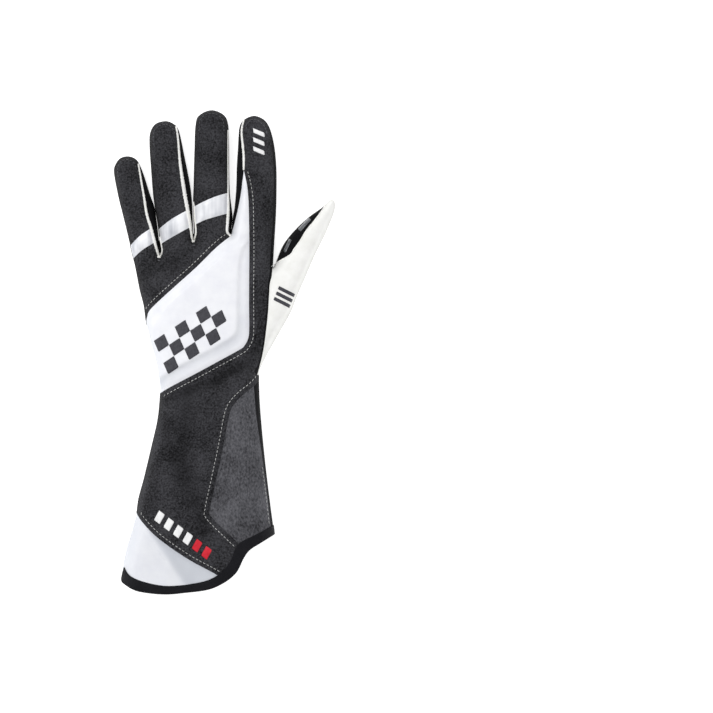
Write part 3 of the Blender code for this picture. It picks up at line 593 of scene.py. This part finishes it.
# The thumb's grey second colour is painted shade where the cloth turns under and in the valleys of the folds
thumbCloth = clothMaterial("whiteThumbLeather", "#eeeeea", "#f8f8f6", 0.6, 0.007, 0.0010, depth=0.00008,
                          paintedShadeAndTone="#cfcfcb", gloss=0.5)
# Ribbed stretch knit of the gauntlet's insert: grey, with slanted ribs about 1.5 mm apart
greyKnit = clothMaterial("greyRibKnit", "#2a2a2d", "#66666b", 0.9, 0.0012, 0.0008, stretch=(1, 0.6, 1),
                         bands=0.0016, spread=(0.50, 0.92))
# Reflective tape: glass beads in a silver film, so it brightens and darkens in soft lengthwise streaks
silverTape = clothMaterial("reflectiveTape", "#b8bbc3", "#f6f7fb", 0.42, 0.0100, 0.0005, depth=0.00003,
                           stretch=(1, 0.10, 1), spread=(0.50, 0.80), gloss=0.5)
# Cut edge of the laminated cloth: cream foam and fibre
rawEdge = clothMaterial("creamRawEdge", "#eeede4", "#ffffff", 0.95, 0.0011, 0.0006, depth=0.0004)
# Brushed lining inside the glove
lining = clothMaterial("creamLining", "#b8b6aa", "#d9d7cc", 0.95, 0.002, 0.0008)
# Woven polyester tape, folded over the mouth
bindingTape = clothMaterial("wovenTape", "#0e0e11", "#1f1f23", 0.85, 0.0010, 0.0006, stretch=(1, 2.5, 1),
                            depth=0.0002)
threadWhite = clothMaterial("whiteThread", "#b4b4b2", "#dadad8", 0.7, 0.0008, 0.0004)
threadGrey = clothMaterial("greyThread", "#55555a", "#77777c", 0.7, 0.0008, 0.0004)
printDark = clothMaterial("printedDarkGrey", "#3b3b40", "#4c4c52", 0.6, 0.002, 0.0006, depth=0.00008)
printWhite = clothMaterial("printedWhite", "#e6e6e8", "#fafafa", 0.55, 0.004, 0.0008, depth=0.00005)
printRed = clothMaterial("printedRed", "#c3202e", "#dd3442", 0.55, 0.004, 0.0008, depth=0.00005)


# Screen-printed silicone: satin, with fine pale specks where its skin is pitted
def siliconeMaterial(name, dark, light, pits=0.0009):
    made, tree, shader = newMaterial(name, 0.38, coat=0.2)
    where = addNode(tree, "ShaderNodeTexCoord").outputs["Object"]
    specks = noiseOf(tree, where, pits, 3.0, 0.7)
    tree.links.new(colourRamp(tree, specks, 0.42, dark, 0.72, light), shader.inputs["Base Color"])
    addBump(tree, shader, specks, 0.5, 0.0001)
    return made


siliconeGrey = siliconeMaterial("gripSilicone", "#44464a", "#717479")
siliconeCoarse = siliconeMaterial("glitterGripSilicone", "#383b41", "#a6acb8", 0.0010)
siliconeRed = siliconeMaterial("redGripSilicone", "#b3202c", "#d8404c")
print("glove: materials made")


clothSlots = {   # the record's name for each cloth
    blackCloth: "black_cloth", palmCloth: "black_cloth", paintedShadeSideCloth: "black_cloth",
    whiteCloth: "white_cloth", thumbCloth: "white_cloth", greyKnit: "grey_cloth",
    silverTape: "silver_band",
}

# Panels of the back: a pixel inside each, its cloth and the CAD nodes that it stands for
backPanels = {
    "pinkyBack": ([(126, 200)], blackCloth, ["finger_back_pinky"]),
    "ringBack": ([(167, 170)], blackCloth, ["finger_back_ring"]),
    "middleBack": ([(211, 160)], blackCloth, ["finger_back_middle"]),
    "pinkyBand": ([(142, 243)], silverTape, ["stripe_pinky"]),
    "ringBand": ([(174, 227)], silverTape, ["stripe_ring"]),
    "middleBand": ([(211, 208)], silverTape, ["stripe_middle"]),
    "knuckles": ([(175, 262)], blackCloth, ["knuckle_panel"]),
    "handBack": ([(190, 320)], whiteCloth, ["hand_back_panel"]),
    "longPanel": ([(255, 250)], blackCloth, ["index_gauntlet_panel", "index_back"]),
    "indexEdge": ([(274.9, 200)], paintedShadeSideCloth, []),
    "thumbBack": ([(290, 285)], thumbCloth, ["thumb_back"]),
    "thumbInner": ([(295, 240)], paintedShadeSideCloth, ["thumb_inner_side"]),
    "insert": ([(240, 470)], greyKnit, ["gauntlet_insert"]),
    "gusset": ([(257, 398)], paintedShadeSideCloth, ["side_gusset"]),
    "corner": ([(150, 560)], whiteCloth, ["cuff_corner_panel"]),
    "sidesPinkyRing": ([(146.5, 198)], paintedShadeSideCloth, ["fourchette_pinky_ring"]),
    "sidesRingMiddle": ([(184, 175)], paintedShadeSideCloth, ["fourchette_ring_middle"]),
    "sidesMiddleIndex": ([(229.3, 215), (239.5, 160), (228, 161.7)], paintedShadeSideCloth,
                         ["fourchette_middle_index"]),
}
palmPanels = {
    "palm": ([(200, 330)], palmCloth, ["palm_panel"]),
    "gauntletPalm": ([(190, 480)], blackCloth, ["gauntlet_palm"]),
    "thumbWrap": ([(236, 375)], thumbCloth, []),
    "thumbStripe": ([(262, 349)], greyKnit, ["thumb_stripe"]),
    "gussetPalm": ([(258.5, 425)], paintedShadeSideCloth, []),
}


paintedShadeAndToneAmounts = {   # how much of its second colour the cloth takes on, from 0 to 1, and over which widths in metres: painted shade, except the corner's base amount, which is the panel's own greyer tone
    "channel": 0.75, "channelOnPad": 0.0035, "channelBeside": 0.006,
    "panelEdge": 0.45, "panelEdgeWidth": 0.006,
    "corner": 0.26, "pastRidge": 0.48, "ridgeWidth": 0.0008, "cornerEdge": 0.40, "cornerEdgeWidth": 0.008,
    "turnedUnder": 0.8, "turnedWidth": 0.0020, "fullDip": 0.0032, "most": 0.85,
}


def paintedShadeAndToneOf(name, spots):   # how much painted shade a panel's cloth takes at each spot, and on the corner its own greyer tone too
    if name == "handBack":   # painted shade in the soft channel between the padding and the seam, and where the panel turns under at its edge
        side = 1 / (1 + np.exp((spots[:, 1] - spots[:, 0] * 0.5 - 0.012) / 0.012))
        width = np.where(inside(whitePad, spots), paintedShadeAndToneAmounts["channelOnPad"], paintedShadeAndToneAmounts["channelBeside"])
        band = paintedShadeAndToneAmounts["channel"] * fade(distances(padTree, spots), width)
        return (band * side * (0.8 + 0.5 * fieldNoise(spots, 0.02, 0.02, 4.4))
                + paintedShadeAndToneAmounts["panelEdge"] * fade(edgeDepth(spots), paintedShadeAndToneAmounts["panelEdgeWidth"]))
    if name == "corner":   # the corner's own greyer tone, with painted shade past the ridge and where the panel turns under at its edge
        low, high = place([(139, 512), (188, 586)])
        ahead = unit(high - low)
        across = (spots - low) @ np.array((-ahead[1], ahead[0]))
        return (paintedShadeAndToneAmounts["corner"] + paintedShadeAndToneAmounts["pastRidge"] / (1 + np.exp(-across / paintedShadeAndToneAmounts["ridgeWidth"]))
                + paintedShadeAndToneAmounts["cornerEdge"] * fade(edgeDepth(spots), paintedShadeAndToneAmounts["cornerEdgeWidth"]))
    # painted shade: black cloth, and the thumb's white cloth, darken where they turn under and where they
    # dip
    tone = paintedShadeAndToneAmounts["turnedUnder"] * fade(edgeDepth(spots), paintedShadeAndToneAmounts["turnedWidth"])
    for tree, rise, wide in foldTrees:
        tone += max(0, -rise / paintedShadeAndToneAmounts["fullDip"]) * bell(distances(tree, spots), wide)
    return np.clip(tone, 0, paintedShadeAndToneAmounts["most"])


def makePanels(table, seamLines, height, prefix):   # the back's or the palm's, as cloth of one thickness
    plan = cutPlan(seamLines)
    points, faces, region = plan
    tops = height(points)
    made = {}
    for name, (seeds, cloth, nodes) in table.items():
        regions = {int(regionAt(plan, seed)) for seed in seeds}
        chosen = [faces[i] for i in np.flatnonzero(np.isin(region, list(regions)))]
        used = sorted({v for face in chosen for v in face})
        index = {v: i for i, v in enumerate(used)}
        corners = [(points[v][0], points[v][1], tops[v]) for v in used]
        turned = [tuple(index[v] for v in (face if prefix == "back" else face[::-1])) for face in chosen]
        piece = meshPiece(name, corners, turned, [cloth, lining, rawEdge])
        # painted shade, and the corner's own greyer tone, stored on each point for the cloth's colour
        marks = piece.data.attributes.new("paintedShadeAndTone", "FLOAT", "POINT")
        marks.data.foreach_set("value", paintedShadeAndToneOf(name, points[used]))
        applied(piece, "SOLIDIFY", thickness=shape["wall"], offset=-1, material_offset=1)
        piece.data.set_sharp_from_angle(angle=math.radians(55))
        made[name] = finished(piece, clothSlots[cloth], *nodes)
        print(f"glove: {name}, {len(chosen)} faces in regions {sorted(regions)}")
    return made


backPieces = makePanels(backPanels, backLines.values(), backHeight, "back")
makePanels(palmPanels, palmLines.values(), palmHeight, "palm")


# Lips: the cut edges that stand out along the outside seams of the fingers
lipTable = {
    # name: (line, widths in mm from start to end, height in mm)
    "lipPinky": ("pinkySide", (0.9, 1.3, 1.6, 1.8, 2.1, 2.2), 0.9),
    "lipRingLeft": ("ringLeft", (0.3, 0.7, 0.8, 1.1, 1.7), 0.7),
    "lipRing": ("ringSide", (0.9, 1.4, 2.0, 2.6, 2.7, 2.6, 2.0), 1.0),
    "lipMiddleLeft": ("middleLeft", (0.6, 1.0, 1.4, 1.6), 0.8),
    "lipMiddle": ("middleSide", (0.4, 0.5, 0.7, 1.1, 1.9, 2.2, 1.8), 0.8),
    "lipIndex": ("indexSide", (0.9, 1.5, 1.8, 1.8, 1.7, 1.2), 0.8),
    "lipThumb": ("thumbInner", (0.5, 0.7, 0.7, 0.7, 0.5), 0.5),
}
palmLips = {
    "lipWrist": ([(158.5, 386), (190, 385.4), (224, 385.2)], (0.9, 1.3, 1.2, 1.4, 0.9), 0.35),
    "lipGusset": ([(256.5, 436), (260, 470), (263.4, 500), (265, 515)], (0.5, 1.1, 0.7, 0.9, 0.4), 0.35),
}


def tube(name, rings, materials, closed=False):   # a solid through rings of as many points each
    count = len(rings[0])
    points = [p for ring in rings for p in ring]
    faces = []
    last = len(rings) if closed else len(rings) - 1
    for i in range(last):
        near, far = i * count, (i + 1) % len(rings) * count
        for k in range(count):
            after = (k + 1) % count
            faces.append((near + k, near + after, far + after, far + k))
    if not closed:
        faces.append(tuple(range(count))[::-1])
        faces.append(tuple(range(len(points) - count, len(points))))
    piece = meshPiece(name, points, faces, materials)
    shell = bmesh.new()
    shell.from_mesh(piece.data)
    bmesh.ops.recalc_face_normals(shell, faces=shell.faces)
    shell.to_mesh(piece.data)
    shell.free()
    return piece


def onGlove(line, margin):   # the part of a line that lies this far inside the outline
    return line[inside(gloveLoop, line) & (distances(outlineTree, line) > margin)]


def makeLip(name, way, widths, rise, height=backHeight):   # one frayed edge along a seam
    line = onGlove(evenly(way, 0.0006), 0.0005)
    share = np.linspace(0, 1, len(line))
    wide = np.interp(share, np.linspace(0, 1, len(widths)), widths) * 0.001
    wide *= 1 + 0.40 * np.array([noise.noise(Vector((i * 0.55, rise, 2.0))) for i in range(len(line))])
    base, normals = lifted(line, height)
    across = np.cross(stepsAlong(base), normals)
    profile = ((-0.5, -0.5), (-0.52, 0.55), (-0.34, 0.95), (0.34, 0.95), (0.52, 0.55), (0.5, -0.5))
    rings = [[base[i] + across[i] * wide[i] * side + normals[i] * rise * 0.001 * up for side, up in profile]
             for i in range(len(line))]
    return finished(tube(name, rings, [rawEdge]), "white_cloth")


sideSeam = {"inset": 0.00052, "wide": 0.0008, "high": 0.0010, "sides": 10}


def makeSideSeam(name, line, cloth):   # a rolled seam where back and palm meet
    inward = np.column_stack([inwardOf(line), np.zeros(len(line))])
    middle = np.column_stack([line, np.full(len(line), shape["seamHeight"])]) + inward * sideSeam["inset"]
    turns = np.linspace(0, 2 * math.pi, sideSeam["sides"], endpoint=False)
    rings = [[spot + side * math.cos(turn) * sideSeam["wide"] + (0, 0, math.sin(turn) * sideSeam["high"])
              for turn in turns] for spot, side in zip(middle, inward)]
    return finished(tube(name, rings, [cloth]), clothSlots[cloth])


seamRuns = {
    # outline: (photo pixels where the cloth changes, the cloth of each run)
    "leftEdge": ([(137.3, 514), (160.8, 394), (147.8, 325)], (whiteCloth, paintedShadeSideCloth, whiteCloth, paintedShadeSideCloth)),
    "ring": ([], (paintedShadeSideCloth,)),
    "middle": ([], (paintedShadeSideCloth,)),
    "index": ([], (paintedShadeSideCloth,)),
    "thumb": ([(258.8, 374.4)], (thumbCloth, paintedShadeSideCloth)),
}
for edgeName, (breaks, cloths) in seamRuns.items():
    line = outlineLines[edgeName]
    marks = [int(np.linalg.norm(line - place([spot]), axis=1).argmin()) for spot in breaks]
    for number, (start, end) in enumerate(zip([0] + marks, marks + [len(line) - 1])):
        makeSideSeam(f"sideSeam_{edgeName}_{number + 1}", line[start:end + 1], cloths[number])

for lipName, (lineName, widths, rise) in lipTable.items():
    makeLip(lipName, backLines[lineName], widths, rise)
for lipName, (points, widths, rise) in palmLips.items():
    makeLip(lipName, smoothLine(points), widths, rise, palmHeight)
print("glove: seam lips made")


# Stitches: one short rounded thread after another, a row of them in one mesh
def stitchRow(name, line, thread, length=0.0017, gap=0.0010, width=0.00038, height=backHeight, rise=0.0001):
    run = np.linalg.norm(np.diff(line, axis=0), axis=1).sum()
    count = max(1, int(run / (length + gap)))
    marks = evenly(line, run / (count * 8))
    points, faces = [], []
    centres = [marks[min(len(marks) - 1, 8 * i + 4)] for i in range(count)]
    ahead = [marks[min(len(marks) - 1, 8 * i + 5)] - marks[min(len(marks) - 2, 8 * i + 3)]
             for i in range(count)]
    base, normals = lifted(centres, height, rise)
    for centre, way, normal in zip(base, ahead, normals):
        tangent = np.array([way[0], way[1], 0])
        tangent = unit(tangent - normal * tangent.dot(normal))
        side = np.cross(normal, tangent)
        start = len(points)
        for along, girth in ((-0.5, 0.45), (-0.32, 1.0), (0.32, 1.0), (0.5, 0.45)):
            for k in range(6):
                turn = math.pi / 3 * k
                points.append(centre + tangent * along * length
                              + (side * math.cos(turn) + normal * math.sin(turn)) * girth * width / 2)
        for ring in range(3):
            for k in range(6):
                a, b = start + ring * 6 + k, start + ring * 6 + (k + 1) % 6
                faces.append((a, b, b + 6, a + 6))
        faces.append(tuple(start + k for k in range(6))[::-1])
        faces.append(tuple(start + 18 + k for k in range(6)))
    return finished(meshPiece(name, points, faces, [thread]), "white_cloth")


def offsetLine(points, distance):   # a smooth line moved sideways, to the left of its way, in metres
    line = smoothLine(points)
    return line - inwardOf(line) * distance


topStitches = {
    # name: (its seam, which of that seam's points it keeps, its own first and last ones, metres to the left)
    "stitchKnuckles": ("knuckles", 3, -1, [(148.6, 312.5)], [(229, 238)], 0.0032),
    "stitchWhiteRight": ("whiteRight", 2, -1, [(243.2, 172.2), (246.4, 184.6)], [(161, 392.4)], 0.0032),
    "stitchInsert": ("insert", 1, -2, [(260.5, 378.6)], [(239, 542)], -0.0034),
    "stitchCorner": ("corner", 2, -1, [(137.5, 513.5), (141, 518.5)], [], 0.0030),
    "stitchInsertRight": ("insertRight", 0, 0, [(263.6, 466), (266.6, 490), (270.6, 524)], [], -0.0009),
}
for rowName, (seam, start, stop, first, last, distance) in topStitches.items():
    stitchRow(rowName, offsetLine(first + backSeams[seam][start:stop] + last, distance), threadWhite)
tipStitches = {
    "stitchPinkyTip": [(118.3, 178), (118.2, 167), (121.4, 161.5), (127.8, 159.8), (133.6, 162.4),
                       (136, 168)],
    "stitchRingTip": [(153.4, 146), (153.9, 133.5), (158, 127), (165.8, 124.8), (172, 128), (174.9, 134)],
    "stitchMiddleTip": [(198.9, 132), (200.4, 121), (204.8, 115.6), (211.4, 113.8), (218.6, 115.9),
                        (223, 121.4), (224, 132)],
    "stitchIndexTip": [(246.2, 130), (247.6, 123.4), (252.5, 119.9), (258.5, 121.2), (264, 126.4),
                       (267, 134)],
}
for rowName, points in tipStitches.items():
    stitchRow(rowName, smoothLine(points), threadGrey, 0.0017, 0.0007, 0.0003)
for barName, (x, y) in {"tackPinkyRing": (159.3, 260.6), "tackRingMiddle": (193.8, 245.4)}.items():
    stitchRow(barName, place([(x - 1.8, y + 0.3), (x + 1.8, y)]), threadGrey, 0.0018, 0.0003, 0.0006)


# Stitches of the palm: zigzags that gather the wrist, and rows inside the fingers' edges
def zigzag(left, right, top, low, turns):   # corners in photo pixels
    across = np.linspace(left, right, 2 * turns + 1)
    return [(x, top if i % 2 else low) for i, x in enumerate(across)]


def insideEdge(line, first, last, depth=0.0026):   # a row this far inside the outline, between two shares
    part = line[int(len(line) * first):int(len(line) * last)]
    moved = part + inwardOf(part) * depth
    return moved[distances(outlineTree, moved) > depth * 0.93]


fingerRows = {   # name: (outline, the shares of it where the row starts and ends)
    "stitchPalmPinky": ("leftEdge", 0.63, 0.98),
    "stitchPalmRing": ("ring", 0.02, 0.98),
    "stitchPalmMiddle": ("middle", 0.02, 0.98),
    "stitchPalmIndex": ("index", 0.02, 0.98),
    "stitchPalmThumb": ("thumb", 0.03, 0.20),
}
palmStitches = {
    "zigzagUpper": (place(zigzag(164, 250, 391.5, 399, 6)), threadWhite),
    "zigzagLower": (place(zigzag(163.5, 252, 413, 420.5, 6)), threadWhite),
    "stitchWrist": (smoothLine([(160, 381.5), (190, 380.8), (224, 380.4)]), threadGrey),
    "stitchGusset": (smoothLine([(255.6, 425), (258, 450), (261, 480), (264.6, 512)]), threadWhite),
}
for rowName, (edgeName, first, last) in fingerRows.items():
    palmStitches[rowName] = (insideEdge(outlineLines[edgeName], first, last), threadGrey)
for rowName, (line, thread) in palmStitches.items():
    stitchRow(rowName, evenly(line, 0.0004), thread, 0.0019, 0.0009, 0.0004, palmHeight)
print("glove: stitches made")


# Binding: a tape folded over the mouth of the cuff, round the whole tube
binding = {"steps": 110, "proud": 0.0008, "inner": 0.0024, "lean": 0.0006, "rows": 8}


def makeBinding():   # outer rows, the fold at the lip, and inner rows, in rings round the mouth
    lip = evenly(smoothLine(mouth), 0.0002)
    top = evenly(smoothLine(shelf), 0.0002)
    share = np.linspace(0, 1, binding["steps"])
    lip, top = [line[(share * (len(line) - 1)).round().astype(int)] for line in (lip, top)]
    loops = []
    for v in np.linspace(1, 0, binding["rows"]):
        row = lip + (top - lip) * v
        upper = np.column_stack([row, backHeight(row, seams=False)])
        lower = np.column_stack([row, palmHeight(row)])
        upper[[0, -1], 2] = lower[[0, -1], 2] = shape["seamHeight"]
        loops.append(np.vstack([upper, lower[-2:0:-1]]))
    loops = np.array(loops)
    around = np.roll(loops, -1, axis=1) - np.roll(loops, 1, axis=1)
    inward = np.broadcast_to(loops[0] - loops[-1], loops.shape)
    normals = unit(np.cross(inward, around))
    if normals[:, :binding["steps"], 2].mean() < 0:
        normals = -normals
    outerRows = loops + normals * binding["proud"]
    innerRows = loops - normals * binding["inner"]
    fold = (loops[-1] - normals[-1] * (binding["inner"] - binding["proud"]) / 2
            - unit(inward[0]) * binding["lean"])
    rows = list(outerRows) + [fold] + list(innerRows[::-1])
    rings = [[row[k] for row in rows] for k in range(loops.shape[1])]
    piece = tube("cuffBinding", rings, [bindingTape], closed=True)
    return finished(piece, "binding", "cuff_binding")


makeBinding()
print("glove: binding made")


# Prints: thin generic marks that follow the cloth
prints = {"step": 0.0011, "margin": 0.0005, "rise": 0.00012, "thick": 0.00012}


def printedPatch(name, polygons, ink, slot):   # outlines in photo pixels, laid on the back
    points, faces = [], []
    step = prints["step"]
    for polygon in polygons:
        loop = evenly(np.vstack([place(polygon), place(polygon[:1])]), step)[:-1]
        rows = [np.arange(*ends, step) for ends in zip(loop.min(axis=0), loop.max(axis=0))]
        grid = np.array([(x, y) for x in rows[0] for y in rows[1]]).reshape(-1, 2)
        grid = grid[inside(loop, grid)]
        grid = grid[distances(treeOf([np.vstack([loop, loop[:1]])]), grid) > prints["margin"]]
        flat = np.vstack([loop, grid]) * 1000
        edges = [(i, (i + 1) % len(loop)) for i in range(len(loop))]
        made = delaunay_2d_cdt([Vector(p) for p in flat], edges, [], 1, 1e-4)
        spots = np.array([tuple(p) for p in made[0]]) / 1000
        start = len(points)
        points += list(lifted(spots, backHeight, prints["rise"])[0])
        faces += [tuple(start + v for v in face) for face in made[2]]
    piece = meshPiece(name, points, faces, [ink])
    return finished(applied(piece, "SOLIDIFY", thickness=prints["thick"], offset=1), slot)


def slanted(corner, length, width, first=0, last=1, low=0, high=1):   # a slanted block, in photo pixels
    cx, cy = corner
    return [(cx + length[0] * u + width[0] * v, cy + length[1] * u + width[1] * v)
            for u, v in ((first, low), (last, low), (last, high), (first, high))]


checks = {"corner": (154.5, 341), "along": (63, -42), "across": (14.5, 33), "columns": 6, "rows": 3}
checkBlocks = [slanted(checks["corner"], checks["along"], checks["across"], column / checks["columns"],
                       (column + 1) / checks["columns"], row / checks["rows"], (row + 1) / checks["rows"])
               for column in range(checks["columns"]) for row in range(checks["rows"])
               if (column + row) % 2 == 0]
printedPatch("handChecks", checkBlocks, printDark, "grey_cloth")
tipBars = [slanted((253.2, 128.5 + 9 * i), (11, 4.6), (0.6, 4.6)) for i in range(3)]
printedPatch("indexBars", tipBars, printWhite, "white_cloth")
thumbBars = [slanted((275 + 2.2 * i, 297 - 5.4 * i), (15.5, 7.8), (-1.4, 3.1)) for i in range(3)]
printedPatch("thumbBars", thumbBars, printDark, "grey_cloth")
thumbStreaks = [[(311.2, 220), (308.4, 217.4), (298, 229.2), (300.8, 231.8)],
                [(291.8, 240.3), (289.1, 238.7), (283.4, 251.4), (286, 253)]]
printedPatch("thumbStreaks", thumbStreaks, siliconeGrey, "silicone")
cuffBars = [slanted((160.5 + 9.4 * i, 509.5 + 7.0 * i), (5.6, 4.2), (-5.2, 9.4)) for i in range(6)]
printedPatch("cuffBarsWhite", cuffBars[:4], printWhite, "white_cloth")
printedPatch("cuffBarsRed", cuffBars[4:], printRed, "red_silicone")
print("glove: prints made")


# Grip pads: the CAD's own, in printed silicone
padSilicone = {"silicone": siliconeGrey, "red_silicone": siliconeRed}
for row in frame["record"]["subparts"]:
    if row["material_slot"] in padSilicone:
        pad = siliconeCoarse if row["node"].startswith("heel") else padSilicone[row["material_slot"]]
        for holder in frame["nodes"][row["node"]].material_slots:
            holder.material = pad


# Floor, light and camera
studio = {
    "floorSize": 60,
    "floorDrop": 0.0002,
    "floorColour": "#fbfbfb",
    "floorGlow": 0.7,
    "worldStrength": 0.55,
    "lamps": {   # place and size in metres, and power in watts
        "keyLight": ((-0.9, 0.8, 1.4), 1.0, 17),
        "fillLight": ((1.3, -0.6, 1.3), 1.5, 7),
    },
}


def whiteFloor():
    bpy.ops.mesh.primitive_plane_add(size=studio["floorSize"], location=(0, 0, -studio["floorDrop"]))
    floor = bpy.context.object
    floor.name = "floor"
    made, _, shader = newMaterial("whiteTable", 0.9)
    shader.inputs["Base Color"].default_value = linear(studio["floorColour"])
    shader.inputs["Emission Color"].default_value = (1, 1, 1, 1)
    shader.inputs["Emission Strength"].default_value = studio["floorGlow"]
    floor.data.materials.append(made)


def softLight(name, position, size, power):
    lamp = bpy.data.lights.new(name, "AREA")
    lamp.size = size
    lamp.energy = power
    holder = bpy.data.objects.new(name, lamp)
    holder.location = position
    holder.rotation_euler = (-Vector(position)).to_track_quat("-Z", "Y").to_euler()
    bpy.context.scene.collection.objects.link(holder)


whiteFloor()
for lampName, (position, size, power) in studio["lamps"].items():
    softLight(lampName, position, size, power)
world = bpy.data.worlds.new("studio")
bpy.context.scene.world = world
world.use_nodes = True
background = world.node_tree.nodes["Background"]
background.inputs["Color"].default_value = (1, 1, 1, 1)
background.inputs["Strength"].default_value = studio["worldStrength"]
bpy.context.scene.view_settings.view_transform = "Standard"

lens = {"focal": 200, "sensor": 36}
viewWidth = photo["width"] * photo["scale"]
centre = place([photo["middle"]])[0]
camera = bpy.data.cameras.new("camera")
camera.lens = lens["focal"]
camera.sensor_width = lens["sensor"]
camera.clip_end = 20
cameraHolder = bpy.data.objects.new("camera", camera)
cameraHolder.location = (centre[0], centre[1], 0.01 + viewWidth * lens["focal"] / lens["sensor"])
bpy.context.scene.collection.objects.link(cameraHolder)
bpy.context.scene.camera = cameraHolder
print("glove: floor, light and camera placed")

bpy.context.view_layer.update()
